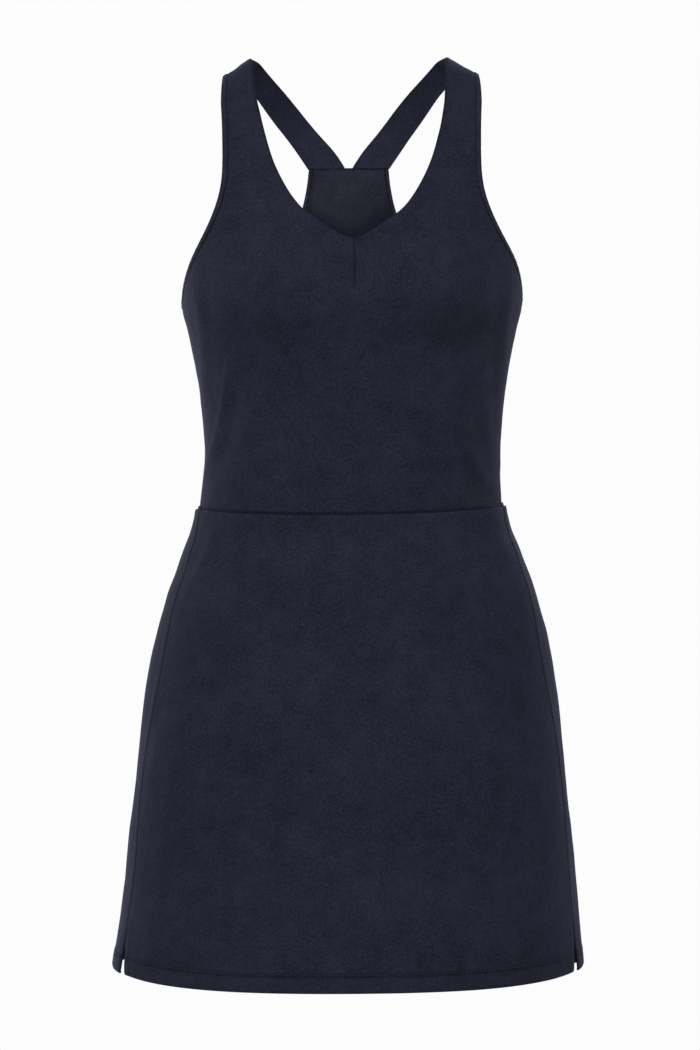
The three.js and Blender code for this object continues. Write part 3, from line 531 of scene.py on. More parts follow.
FINE = [0, 0.35, 0.7, 1.1, 1.6, 2.3, 3.2, 4.4, 6.0, 8.0]
EDGE = [0, 0.3, 0.8, 1.5, 2.6, 4.2, 6.5]


def uv_of(p, s, s_total, along):
    return np.stack([s, along], -1)


def column_lengths(p):
    d = np.linalg.norm(np.diff(p, axis=0), axis=-1)
    return np.concatenate([np.zeros((1, p.shape[1])), np.cumsum(d, axis=0)])


def side_of(p, side):
    q = p.copy()
    q[..., 0] *= side
    return q


# ---- bodice front ----
def angle_row(form, a0, z0, a1, z1, samples=240, levels=None):
    u = np.linspace(0, 1, samples)
    ang = a0 + (a1 - a0) * u
    z = z0 + (z1 - z0) * u if levels is None else levels(ang, u)
    return point_at(form, ang, z)[0]


UNDER_BIND = 1.6  # the panel's edge runs on under the binding's fold
BIND_LINE = BIND_WIDTH + 0.35


def bodice_rows(front):
    """Sampled rows of half a bodice panel, from the waist up, with the row's kind."""
    rows = []
    way = BIND_WIDTH - UNDER_BIND
    under = armhole_in(np.array([S_UNDER]), way)[0]
    z_end = -203.0 if front else -215.0
    centre = 0.0 if front else math.pi
    ts = [-3.2, -1.2, -0.35, 0, 0.5, 1.0, 1.7, 2.8, 4.4, 6.8] + list(np.linspace(10, 171, 47))
    span = abs(under[2] - WAIST_SIDE)
    for mm in ts:
        t = mm / span
        z = WAIST_SIDE + (under[2] - WAIST_SIDE) * t
        seam = float(angle_behind(BODICE, seam_behind(z), np.array(z))) + (0.004 if front else -0.004)
        w0, wc = float(waist_at(np.array(seam))), float(waist_at(np.array(centre)))
        zc = wc + (z_end - wc) * t
        shift = smooth(1 - t * 2.2)
        rows.append(("side", angle_row(BODICE, seam, z, centre, zc,
                                       levels=lambda a, u, z=z, zc=zc, w0=w0, wc=wc, shift=shift:
                                       z + (zc - z) * u + shift * (waist_at(a) - (w0 + (wc - w0) * u)))))
    if front:
        s_list = np.linspace(S_UNDER, S_V, 19)
        zc = np.linspace(-203, -V_DROP, 19)
        q = armhole_in(s_list, way)
        for i in range(19):
            a0 = float(angle_for(BODICE, q[i, 0], q[i, 1], q[i, 2]))
            if i == 0:
                a0 = float(angle_behind(BODICE, seam_behind(q[i, 2]), np.array(q[i, 2]))) + 0.004
            rows.append(("arm", angle_row(BODICE, a0, q[i, 2], 0.0, zc[i])))
        neck = [np.array([float(neck_x(d)), float(height_at(neck_x(d), d)), d])
                for d in list(np.linspace(V_DROP, 131, 12)) + list(np.linspace(128, 6, 36)) + [3.5, 1.6, 0.5, 0]]
        neck = np.array(neck)
        nk3 = np.array([np.ravel(on_surface(BODICE, x, z, -1)) for x, z, d in neck])
        cum = np.r_[0, np.cumsum(np.linalg.norm(np.diff(nk3, axis=0), axis=1))]
        want = np.r_[2.0, np.linspace(0, cum[-1], 62)[1:-4], cum[-1] - np.array([9, 6.5, 4.4, 2.8, 1.4, 0.5])]
        want = np.unique(np.round(want, 3))
        drops = np.interp(want, cum, neck[:, 2])
        frac = want / cum[-1]
        s_list = S_V + (S_CREST - S_V) * frac
        q = armhole_in(s_list, way)
        for i, d in enumerate(drops):
            d0 = -float(level_of(q[i, 0], q[i, 2]))
            xi = float(neck_x(d))
            u = np.linspace(0, 1, 160)
            x = q[i, 0] + (xi - q[i, 0]) * u
            dd = np.maximum(d0 + (d - d0) * u, 0)
            rows.append(("neck", on_surface(BODICE, x, height_at(x, dd), -1)))
        fractions = [0, 0.06, 0.14, 0.24, 0.36, 0.5, 0.64, 0.76, 0.87, 0.95, 1.0, 1.08]
        inner = resample(np.array([
            np.array([float(neck_x(0)), 0, float(height_at(neck_x(0), 0))]),
            np.ravel(on_surface(BODICE, 83.8, float(height_at(83.8, 1.1)), 1)),
            np.ravel(on_surface(BODICE, 78.4, float(height_at(78.4, 6)), 1)),
            np.ravel(on_surface(BODICE, 76.4, float(height_at(76.4, 8.3)), 1))]), 60)
        for f in fractions:
            s = S_CREST * (1 - f)
            p0, n0, in0 = armhole(np.array([max(s, 0.0)]))
            q0 = (p0 + in0 * way)[0]
            if f > 1:
                q0 = q0 + (coarse[0] - coarse[1]) / np.linalg.norm(coarse[0] - coarse[1]) * 1.6
            q0 = project(BODICE, q0[None], np.array([-1.0]))[0]
            e = inner[int(round(min(f, 1.08) / 1.08 * 46))]
            u = np.linspace(0, 1, 120)[:, None]
            line = q0 + (e - q0) * u
            rows.append(("over", project(BODICE, line, face_of(line, 1))))
    else:
        tab = np.array([np.ravel(on_surface(BODICE, x, lv, 1)) for x, lv, _ in ARMHOLE_BACK])
        s_nodes = seg[I_UNDER:]
        lv_c = curve(s_nodes, np.r_[-215.0, ARMHOLE_BACK[:, 2]])
        s_list = np.r_[np.linspace(S_UNDER, S_TOP - 6, 70)[0:], S_TOP - np.array([4.2, 2.8, 1.8, 1.0, 0.4, 0])]
        q = armhole_in(s_list, way)
        for i, s in enumerate(s_list):
            a0 = float(angle_for(BODICE, q[i, 0], q[i, 1], q[i, 2]))
            z0, zc = q[i, 2], float(lv_c(s))
            if i == 0:
                a0 = float(angle_behind(BODICE, seam_behind(q[i, 2]), np.array(q[i, 2]))) - 0.004
            if s > S_TOP - 7:
                k = (s - (S_TOP - 7)) / 7
                z0 = z0 + (RACER_TOP - (S_TOP - s) - z0) * k
                zc = zc + (RACER_TOP - (S_TOP - s) - zc) * k
            rows.append(("arm", angle_row(BODICE, a0, z0, math.pi, zc)))
    return rows


def build_bodice(front):
    name = "bodice_front_cloth" if front else "bodice_back_cloth"
    rows = bodice_rows(front)
    middle = 72 if front else 52
    start = [0, 0.5, 1.1, UNDER_BIND, UNDER_BIND + 0.3, UNDER_BIND + 0.6, UNDER_BIND + 1.0, UNDER_BIND + 1.6,
             UNDER_BIND + 2.6, UNDER_BIND + 4.2, UNDER_BIND + 6.5]
    end = [0, 0.25, 0.5, 0.85, 1.3, 2.0, 3.0, 4.6, 7.0, 10.5]
    pts, ss, totals = [], [], []
    for kind, sample in rows:
        p, s, total = row_points(sample, start, end, middle)
        pts.append(p)
        ss.append(s)
        totals.append(total)
    base = np.array(pts)
    s = np.array(ss)
    total = np.array(totals)[:, None]
    face = face_of(base, 1)
    n = normals(BODICE, base, face)
    kinds = [k for k, _ in rows]
    kind_side = np.array([k == "side" for k in kinds])
    i_waist = 3
    up = column_lengths(base)
    up = up - up[i_waist]
    from_in = total - s
    h0 = np.zeros(s.shape)
    t0 = np.full(s.shape, CLOTH)
    # side seam: the two edges roll down into a shallow groove
    seam_dip = -0.75 * np.exp(-(s / 0.9) ** 1.6) - 0.1 * np.exp(-(s / 4) ** 2)
    # under the binding the cloth sinks into its fold
    dist = s - UNDER_BIND
    bind_dip = np.where(dist < 0, -0.8, -0.8 * np.exp(-(np.maximum(dist, 0) / 0.75) ** 1.7)) - 0.12 * np.exp(-(dist / 4.5) ** 2)
    h0 = h0 + np.where(kind_side[:, None], seam_dip, bind_dip)
    # waist seam: the bodice's edge turns in under the skirt's
    waist_dip = np.where(up < -0.35, -1.1, -1.1 * np.exp(-(np.maximum(up + 0.35, 0) / 0.34) ** 1.6)) - 0.18 * np.exp(-(up / 5) ** 2)
    h0 = h0 + waist_dip
    if front:
        open_row = np.array([k in ("neck", "over") for k in kinds])[:, None]
        # neck edge: turned and pressed, a little thicker, rounded over
        edge = np.where(open_row, 1.0, 0)
        h0 = h0 + edge * (0.28 * np.exp(-(from_in / 5.0) ** 4) - 0.35 * np.exp(-(from_in / 0.55) ** 2))
        t0 = t0 + edge * 0.75 * np.exp(-(from_in / 6.0) ** 4)
        # dart: a pressed line that fades out at its lower end
        zc = base[..., 2]
        strength = np.where(open_row, 0, smooth((zc - (DART_END - 1)) / 14) * smooth((-V_DROP - 0.4 - zc) / 2.5 + 0.25))
        h0 = h0 - strength * (1.35 * np.exp(-(from_in / 0.55) ** 1.4) + 0.55 * np.exp(-(from_in / 4.2) ** 1.5))
        below = np.where(open_row, 0, smooth((zc - (DART_END - 22)) / 24) * (1 - strength))
        h0 = h0 - below * 0.3 * np.exp(-(from_in / 5.0) ** 2)
        # strap end: sinks into the strap seam
        over = np.array([k == "over" for k in kinds])
        last = base[np.where(over)[0][-2]]
        d_end = np.linalg.norm(base - last[None], axis=-1)
        n_over = np.where(over)[0]
        end_dip = np.zeros(s.shape)
        for i in n_over:
            end_dip[i] = -0.5 * np.exp(-(d_end[i] / 0.7) ** 1.6)
        end_dip[n_over[-1]] = -0.7
        h0 = h0 + end_dip
    else:
        d_top = np.linalg.norm(base - base[-1][None], axis=-1)
        near_top = np.arange(len(rows))[:, None] > len(rows) - 26
        h0 = h0 + np.where(near_top, 0.3 * np.exp(-(d_top / 7.5) ** 6) - 0.5 * np.exp(-(d_top / 0.7) ** 2), 0)
        t0 = t0 + np.where(near_top, 0.6 * np.exp(-(d_top / 8.0) ** 6), 0)
    # painted shade in the seams, along the binding's edge, the dart, the neck edge and the strap end, outside and
    # inside
    dark = 0.95 * np.exp(-(np.maximum(up + 0.35, 0) / 0.32) ** 2)
    dark = np.maximum(dark, np.where(kind_side[:, None], 0.7 * np.exp(-(s / 0.5) ** 2), 0.75 * np.exp(-(np.maximum(dist, 0) / 0.30) ** 2)))
    dark_in = np.where(kind_side[:, None], 0, 0.6 * np.exp(-(np.maximum(s - 0.2, 0) / 0.4) ** 2))
    if front:
        dark = np.maximum(dark, strength * 0.6 * np.exp(-(from_in / 0.42) ** 2))
        dark = np.maximum(dark, open_row * 0.5 * np.exp(-(from_in / 0.5) ** 2))
        for i in n_over:
            dark[i] = np.maximum(dark[i], 0.7 * np.exp(-(d_end[i] / 0.5) ** 2))
            dark_in[i] = np.maximum(dark_in[i], 0.25 * np.exp(-(d_end[i] / 0.5) ** 2))
        dark_in = np.maximum(dark_in, open_row * (0.5 * np.exp(-((from_in - 6.2) / 0.5) ** 2)))
    else:
        # painted shade along the strap seam at the top of the back
        top_line = np.where(near_top, 0.2 * np.exp(-(d_top / 0.4) ** 2), 0)
        dark, dark_in = np.maximum(dark, top_line), np.maximum(dark_in, top_line)
        # painted shade on the inside of the back: a band just above where the front's V edge lies in front of it as
        # seen from the camera
        above = base[..., 2] - (-141.5 + 0.5 * np.abs(base[..., 0]))  # the shade gathers just above the V
        dark_in = np.maximum(dark_in, 0.5 * smooth(1 - above / 24))
    shell = Shell(name)
    first = None
    for side in (1, -1):
        p, nn = side_of(base, side), side_of(n, side)
        h = h0 + fold_height(p, face, FOLDS)
        soft = smooth(s / 14) * smooth(np.maximum(up, 0) / 14)
        if front:
            soft = soft * np.where(open_row, smooth(from_in / 12), 1)
        h = h + soft * (0.42 * wander(p, 5, 70) + 0.14 * wander(p, 9, 22, 2))
        # seam pucker: short shallow waves beside each seam
        near_waist = np.exp(-(up / 5.0) ** 2) * (up > 0)
        h = h + near_waist * 0.10 * np.sin(p[..., 0] * 2 * math.pi / 7.3 + 1.5 * np.sin(p[..., 0] / 23.0))
        if not front or True:
            near_bind = np.exp(-((dist - 2.5) / 3.0) ** 2) * (~kind_side)[:, None]
            h = h + near_bind * 0.10 * np.sin(up * 2 * math.pi / 8.1 + 1.3 * np.sin(up / 19.0))
        # shared centre line
        if side == -1:
            share = np.zeros(s.shape, bool)
            if front:
                share[:, -1] = ~open_row[:, 0]
            else:
                share[:, -1] = True
            index = (share, first)
        else:
            index = None
        uv = np.stack([side * (total - s) + 400, up], -1)
        ids = shell.grid(p + nn * h[..., None], nn, t0, uv, index, dark, dark_in)
        if side == 1:
            first = ids
    obj = shell.build()
    return obj, base, n, s, total, up, kinds


# ---- skirt ----
def hem_at(angle, front):
    return HEM_LEVEL + (HEM_RISE_FRONT if front else HEM_RISE_BACK) * np.sin(angle) ** 5


ROW_UPPER = [-2.6, -1.0, -0.3, 0, 0.4, 0.8, 1.3, 2.0, 3.0, 4.6, 7.0]
HEM_ROWS = [24, 20, 18, 17, 16.3, 15.8, 15.3, 14.9, 14.5, 14.0, 13.4, 12.8, 12.2, 11.7, 11.3, 10.9, 10.4, 9.5, 8, 6, 4, 2.4, 1.2, 0.5, 0]


def build_skirt(front):
    name = "skirt_front_cloth" if front else "skirt_back_cloth"
    seam = seam_front if front else seam_back
    centre = 0.0 if front else math.pi
    sign = -1 if front else 1

    def seam_angle(z):
        z = np.asarray(z, float)
        over = 0.0035 * smooth((z - SLIT_TOP) / 3.0)
        return np.arccos((seam(z) / reach(SKIRT, 0 * z, z, -1)) ** (SKIRT.square(z) / 2)) - sign * over + sign * 0.002 * (z < SLIT_TOP)

    def top(a):
        return waist_at(a) - 0.3

    body = list(np.linspace(10.5, 338, 84))
    slit_rows = [342, 345, 348, 351, 354, 357]
    rows, marks = [], []
    for mm in ROW_UPPER + body + slit_rows:
        rows.append(("down", mm))
    for mm in HEM_ROWS:
        rows.append(("hem", mm))
    sampled = []
    u = np.linspace(0, 1, 320)
    for kind, mm in rows:
        def level(a, kind=kind, mm=mm):
            hem = hem_at(a, front)
            full = top(a) - hem
            if kind == "hem":
                return hem + mm
            t = mm / 385.0
            return top(a) - t * (full - 13.0) if mm > 0 else top(a) - mm
        a_s = float(seam_angle(np.array(-600.0)))
        for _ in range(8):
            a_s = float(seam_angle(level(np.array(a_s))))
        ang = a_s + (centre - a_s) * u
        sampled.append(point_at(SKIRT, ang, level(ang))[0])
    start = [0, 0.3, 0.65, 1.1, 1.7, 2.5, 3.4, 4.4, 5.6, 6.8, 7.8, 8.3, 8.7, 9.1, 9.6, 10.3, 11.8]
    end = [0, 1.5]
    pts, ss, totals = [], [], []
    for smp in sampled:
        p, s, total = row_points(smp, start, end, 84 if front else 100)
        pts.append(p)
        ss.append(s)
        totals.append(total)
    base, s, total = np.array(pts), np.array(ss), np.array(totals)[:, None]
    face = face_of(base, sign)
    n = normals(SKIRT, base, face)
    down = column_lengths(base)
    down = down - down[3]
    z = base[..., 2]
    hem_z = hem_at(angle_for(SKIRT, base[..., 0], base[..., 1], z), front)
    up = z - hem_z
    slit = smooth((SLIT_TOP + 2 - z) / 4)
    h0 = (1 - slit) * (-0.85 * np.exp(-(s / 0.8) ** 1.6))
    # the seam allowance lies under the back panel and lifts it a little
    if not front:
        h0 = h0 + (1 - slit) * 0.35 * np.exp(-((s - 4.0) / 3.6) ** 4)
    else:
        h0 = h0 + (1 - slit) * 0.12 * np.exp(-((s - 2.6) / 2.2) ** 4)
    # top edge: rolls over and down into the waist seam
    h0 = h0 + np.where(down < -0.3, -1.7, -1.7 * np.exp(-(np.maximum(down + 0.3, 0) / 0.36) ** 1.8)) + 0.25 * np.exp(-((down - 2.6) / 2.6) ** 2)
    # turned hem with two rows of stitching
    turned = smooth((16.6 - up) / 2.4)
    h0 = h0 + turned * 0.3 - 0.34 * np.exp(-((up - 14.8) / 0.55) ** 2) - 0.34 * np.exp(-((up - 11.5) / 0.55) ** 2)
    h0 = h0 + 0.05 * np.exp(-((up - 13.15) / 0.8) ** 2)
    h0 = h0 - 0.45 * np.exp(-(np.maximum(up, 0) / 0.8) ** 2)
    # turned slit edge with one row of stitching
    h0 = h0 + slit * (0.3 * np.exp(-(s / 9.8) ** 8) - 0.32 * np.exp(-((s - 8.7) / 0.5) ** 2) - 0.3 * np.exp(-(s / 0.6) ** 2))
    t0 = CLOTH + 0.8 * turned + slit * 0.8 * np.exp(-(s / 9.8) ** 8) * (1 - turned)
    # painted shade in the waist seam, the side seams and beside the slit stitching, in bands along the hem stitching,
    # and inside under the turned hem's top edge
    dark = 0.6 * np.exp(-(np.maximum(down + 0.3, 0) / 0.3) ** 2)
    dark = np.maximum(dark, (1 - slit) * 0.85 * np.exp(-(s / 0.6) ** 2))
    dark = np.maximum(dark, 0.6 * np.exp(-((up - 15.0) / 0.8) ** 2) + 0.45 * np.exp(-((up - 13.1) / 0.9) ** 2) + 0.5 * np.exp(-((up - 11.5) / 0.6) ** 2))
    dark = np.maximum(dark, slit * 0.6 * np.exp(-((s - 8.7) / 0.8) ** 2))
    dark_in = 0.6 * np.exp(-((up - 17.0) / 0.6) ** 2)
    shell = Shell(name)
    first = None
    keep = {}
    for side in (1, -1):
        p, nn = side_of(base, side), side_of(n, side)
        h = h0 + fold_height(p, face, SKIRT_FOLDS)
        soft = smooth(s / 16) * smooth(np.maximum(down, 0) / 18) * (0.35 + 0.65 * smooth(up / 26))
        h = h + soft * (0.75 * wander(p, 21, 95) + 0.18 * wander(p, 4, 26, 2))
        h = h + np.exp(-(down / 5.0) ** 2) * (down > 0) * 0.10 * np.sin(p[..., 0] * 2 * math.pi / 6.9 + 1.2 * np.sin(p[..., 0] / 21.0))
        ripple = np.exp(-((up - 11) / 9.0) ** 2)
        h = h + ripple * 0.16 * np.sin(side * (total - s) * 2 * math.pi / 17.0 + 2.1 * np.sin(side * (total - s) / 41.0))
        h = h + (1 - slit) * np.exp(-((s - 3) / 3.5) ** 2) * 0.14 * np.sin(z * 2 * math.pi / 11.0 + 1.4 * np.sin(z / 27.0))
        index = None
        if side == -1:
            share = np.zeros(s.shape, bool)
            share[:, -1] = True
            index = (share, first)
        uv = np.stack([side * (total - s) + 400, -down], -1)
        final = p + nn * h[..., None]
        keep[side] = (final, nn)
        ids = shell.grid(final, nn, t0, uv, index, dark, dark_in)
        if side == 1:
            first = ids
    if not front:
        # the slit's allowance, turned in and seen through the slit, under an even painted shade
        for side, lift in ((1, 4.0), (-1, 12.0)):
            pick = np.where((z[:, 0] < SLIT_TOP - 1) & (up[:, 0] > lift))[0]
            if len(pick) < 3:
                continue
            final, nn = keep[side]
            edge, n_e = final[pick, 3], nn[pick, 3]
            way = final[pick, 2] - final[pick, 6]
            way = way / np.linalg.norm(way, axis=-1, keepdims=True)
            reach_out = np.array([-3.2, -1.6, 0.2, 1.8, 3.4, 5.0, 6.6])
            down_in = np.array([2.2, 2.3, 2.5, 2.9, 3.3, 3.6, 3.8])
            p = edge[:, None] + way[:, None] * reach_out[None, :, None] - n_e[:, None] * down_in[None, :, None]
            n2 = np.repeat(n_e[:, None], len(reach_out), axis=1)
            uv = np.stack([np.repeat(reach_out[None], len(pick), 0) + 900, np.repeat(z[pick, :1], len(reach_out), 1)], -1)
            shell.grid(p, n2, np.full(p.shape[:2], 0.9), uv, None, np.full(p.shape[:2], 0.72), np.full(p.shape[:2], 0.4))
    return shell.build(), keep, s, total, up, z, rows


# ---- ribbon-like pieces swept with a section ----
def sweep(name, centre, across, normal, section, tone=0.0, inside=(), uv_offset=0.0):
    """A section (k points of across, out) carried along a path of frames, ends capped."""
    section = np.asarray(section, float)
    if section.ndim == 2:
        section = np.broadcast_to(section, (len(centre),) + section.shape)
    v = centre[:, None] + across[:, None] * section[..., 0:1] + normal[:, None] * section[..., 1:2]
    r, c = v.shape[:2]
    d = np.r_[0, np.cumsum(np.linalg.norm(np.diff(centre, axis=0), axis=1))]
    around = np.concatenate([np.zeros((r, 1)), np.cumsum(np.linalg.norm(np.diff(v, axis=1), axis=-1), axis=1)], axis=1)
    uv = np.stack([around + uv_offset, np.broadcast_to(d[:, None], (r, c))], -1)
    idx = np.arange(r * c).reshape(r, c)
    a, b = idx[:-1], idx[1:]
    quads = np.stack([a, np.roll(a, -1, 1), np.roll(b, -1, 1), b], -1).reshape(-1, 4)
    verts, uvs = v.reshape(-1, 3), uv.reshape(-1, 2)
    # orientation check from the signed volume
    tri = np.concatenate([quads[:, [0, 1, 2]], quads[:, [0, 2, 3]]])
    vol = np.einsum("ij,ij->i", verts[tri[:, 0]], np.cross(verts[tri[:, 1]], verts[tri[:, 2]])).sum()
    faces = [quads]
    caps_v, caps_uv = [], []
    n0 = len(verts)
    for k, row in enumerate((0, r - 1)):
        caps_v.append(v[row].mean(0))
        caps_uv.append(uv[row].mean(0))
        ring = idx[row]
        nxt = np.roll(ring, -1)
        centre_id = np.full(c, n0 + k)
        faces.append(np.stack([nxt, ring, centre_id, centre_id], -1) if row == 0 else np.stack([ring, nxt, centre_id, centre_id], -1))
    verts = np.concatenate([verts, np.array(caps_v)])
    uvs = np.concatenate([uvs, np.array(caps_uv)])
    faces = np.concatenate(faces)
    tri = np.concatenate([faces[:, [0, 1, 2]], faces[:, [0, 2, 3]]])
    vol = np.einsum("ij,ij->i", verts[tri[:, 0]], np.cross(verts[tri[:, 1]], verts[tri[:, 2]])).sum()
    if vol < 0:
        faces = faces[:, ::-1]
    # the end caps carry painted shade
    tones = np.r_[np.broadcast_to(tone, (r, c)).reshape(-1), 0.6, 0.6]
    reverse = np.zeros(len(faces), int)
    reverse[:len(quads)] = np.tile(np.isin(np.arange(c), inside), r - 1)
    return make_mesh(name, verts, faces, uvs, tones, reverse)


def build_binding(side):
    steps = int(S_TOP / 1.6)
    s = np.linspace(0, S_TOP, steps)
    p, n, inward = armhole(s)
    # smooth the frames a little so the band lies even
    for _ in range(2):
        inward[1:-1] = (inward[:-2] + 2 * inward[1:-1] + inward[2:]) / 4
        inward /= np.linalg.norm(inward, axis=1, keepdims=True)
    w = BIND_WIDTH
    sec = []
    # across, out, painted shade: a painted dark line at the stitching beside the panel, a fine one near the outer fold,
    # and painted shade at both edges of the band
    top = [(w - 0.02, -0.55, 0.9), (w - 0.06, 0.0, 0.8), (w - 0.22, 0.28, 0.35), (w - 0.6, 0.46, 0.0), (w - 1.2, 0.55, 0), (w * 0.62, 0.58, 0),
           (w * 0.42, 0.57, 0), (1.75, 0.5, 0.0), (1.4, 0.4, 0.35), (1.15, 0.3, 0.6), (0.9, 0.36, 0.25), (0.55, 0.28, 0), (0.2, 0.0, 0.2),
           (0.0, -0.5, 0.45), (0.12, -0.98, 0.4), (0.5, -1.3, 0.1), (1.1, -1.46, 0), (w * 0.5, -1.5, 0),
           (w - 2.2, -1.48, 0.05), (w - 1.6, -1.42, 0.6), (w - 0.4, -1.3, 0.7), (w - 0.1, -1.0, 0.8)]
    top = np.array(top)
    sec = np.broadcast_to(top, (steps,) + top.shape).copy()
    pucker = 0.10 * np.sin(s * 2 * math.pi / 8.1 + 1.3 * np.sin(s / 19.0)) + 0.06 * np.sin(s * 2 * math.pi / 4.7 + 0.7)
    sec[:, :13, 1] += pucker[:, None] * np.array([0.1, 0.4, 0.8, 1, 1, 1, 1, 1, 1, 1, 1, 0.8, 0.4])
    sec[:, :, 0] *= (1 + 0.02 * np.sin(s * 2 * math.pi / 31.0))[:, None]
    # in from the edge the band follows the form
    lift = np.zeros(steps)
    q = project(BODICE, p + inward * w, face_of(p))
    across = (q - p) / w
    obj = sweep(f"armhole_binding_{'left' if side > 0 else 'right'}_cloth", side_of(p, side), side_of(across, side),
                side_of(n, side), sec, tone=top[:, 2], inside=range(14, 20))
    return obj


def build_strap(side):
    inner = np.array([np.ravel(on_surface(BODICE, x, float(height_at(x, d)), 1)) for x, d, _, _ in STRAP_ROWS])
    outer = np.array([np.ravel(on_surface(BODICE, x, float(height_at(x, d)), 1)) for _, _, x, d in STRAP_ROWS])
    inner = np.vstack([inner, on_surface(BODICE, 3.8, RACER_TOP + 0.1, 1)])
    outer = np.vstack([outer, on_surface(BODICE, 36.1, RACER_TOP + 0.1, 1)])
    steps = 84
    t = np.r_[0, np.cumsum(np.linalg.norm(np.diff((inner + outer) / 2, axis=0), axis=1))]
    tt = np.r_[np.linspace(0, t[-1], steps)]
    fi = np.stack([curve(t, inner[:, k])(tt) for k in range(3)], -1)
    fo = np.stack([curve(t, outer[:, k])(tt) for k in range(3)], -1)
    for line in (fi, fo):
        for _ in range(40):
            line[1:-1] = (line[:-2] + 2 * line[1:-1] + line[2:]) / 4
    shell = Shell(f"strap_{'left' if side > 0 else 'right'}_cloth")
    cols = np.array([0, 0.015, 0.04, 0.08, 0.14, 0.22, 0.32, 0.43, 0.54, 0.65, 0.75, 0.84, 0.91, 0.95, 0.98, 1.0])
    line = fo[:, None] + (fi - fo)[:, None] * cols[None, :, None]
    base = project(BODICE, line, face_of(line, 1))
    n = normals(BODICE, base, face_of(base, 1))
    s = np.concatenate([np.zeros((steps, 1)), np.cumsum(np.linalg.norm(np.diff(base, axis=1), axis=-1), axis=1)], 1)
    total = s[:, -1:]
    along = column_lengths(base)
    left = along[-1:] - along
    edge = np.minimum(s, total - s)
    h = -0.45 * np.exp(-(edge / 0.7) ** 2) + 0.15
    h = h + 0.35 * np.sin(s / total * math.pi) * np.sin(along / along[-1:] * math.pi)  # slight crown across
    h = h + 0.22 * np.exp(-(((s / total) - 0.62) / 0.12) ** 2) * np.sin(along / along[-1:] * math.pi)
    h = h - 0.45 * np.exp(-(along / 0.8) ** 1.6) - 0.55 * np.exp(-(left / 1.2) ** 1.6)
    thick = np.full(s.shape, 1.7)
    # painted shade at both strap seams; inside, a painted shadow near the crest where the front strap shades the back
    # strap
    dark = np.maximum(0.5 * np.exp(-(along / 0.5) ** 2), 0.3 * np.exp(-(left / 0.4) ** 2))
    p, nn = side_of(base, side), side_of(n, side)
    h = h + 0.16 * wander(p, 31 + side, 34, 2) * smooth(edge / 4)
    uv = np.stack([s + 100, along], -1)
    shell.grid(p + nn * h[..., None], nn, thick, uv, None, dark, np.maximum(np.maximum(dark * (along > left), 0.25 * dark), 0.45 * np.exp(-(along / 11.0) ** 1.5)))
    return shell.build(rings=3)


# ---- stitches ----
def build_stitches(name, rows, pitch=2.3, length=1.15, radius=0.28, sink=0.06):
    """Small rounded thread lengths laid along rows of (points, normals)."""
    verts, faces = [], []
    sides, rings = 6, [(-1.0, 0.25), (-0.75, 0.8), (0.0, 1.0), (0.75, 0.8), (1.0, 0.25)]
    base = 0
    for pts, nrm in rows:
        d = np.r_[0, np.cumsum(np.linalg.norm(np.diff(pts, axis=0), axis=1))]
        count = int(d[-1] / pitch)
        if count < 1:
            continue
        mid = (np.arange(count) + 0.5) * pitch
        pos = np.stack([np.interp(mid, d, pts[:, k]) for k in range(3)], -1)
        nn = np.stack([np.interp(mid, d, nrm[:, k]) for k in range(3)], -1)
        nn /= np.linalg.norm(nn, axis=1, keepdims=True)
        tan = np.stack([np.interp(mid + 0.5, d, pts[:, k]) - np.interp(mid - 0.5, d, pts[:, k]) for k in range(3)], -1)
        tan /= np.linalg.norm(tan, axis=1, keepdims=True)
        bi = np.cross(nn, tan)
        jitter = rng.normal(0, 0.05, (count, 2))
        ln = length * (1 + rng.normal(0, 0.05, count)) / 2
        rows_v = []
        for a, r in rings:
            for k in range(sides):
                th = 2 * math.pi * k / sides
                bow = (1 - abs(a)) * 0.10 - sink
                rows_v.append(pos + tan * (a * ln)[:, None] + bi * (math.cos(th) * r * radius + jitter[:, :1]) + nn * (math.sin(th) * r * radius + bow + radius * 0.35))
        v = np.stack(rows_v, 1)  # count, rings*sides, 3
        verts.append(v.reshape(-1, 3))
        k = len(rings) * sides
        offs = (np.arange(count) * k)[:, None, None] + base
        quads = []
        for i in range(len(rings) - 1):
            for j in range(sides):
                a, b = i * sides + j, i * sides + (j + 1) % sides
                quads.append((a, b, b + sides, a + sides))
        quads = np.array(quads)[None] + offs
        faces.append(quads.reshape(-1, 4))
        for i, order in ((0, -1), (len(rings) - 1, 1)):
            ring = [i * sides + j for j in range(sides)][::order]
            caps = np.array([(ring[0], ring[1], ring[2], ring[3]), (ring[0], ring[3], ring[4], ring[5])])[None] + offs
            faces.append(caps.reshape(-1, 4))
        base += count * k
    verts, faces = np.concatenate(verts), np.concatenate(faces)
    return make_mesh(name, verts, faces)


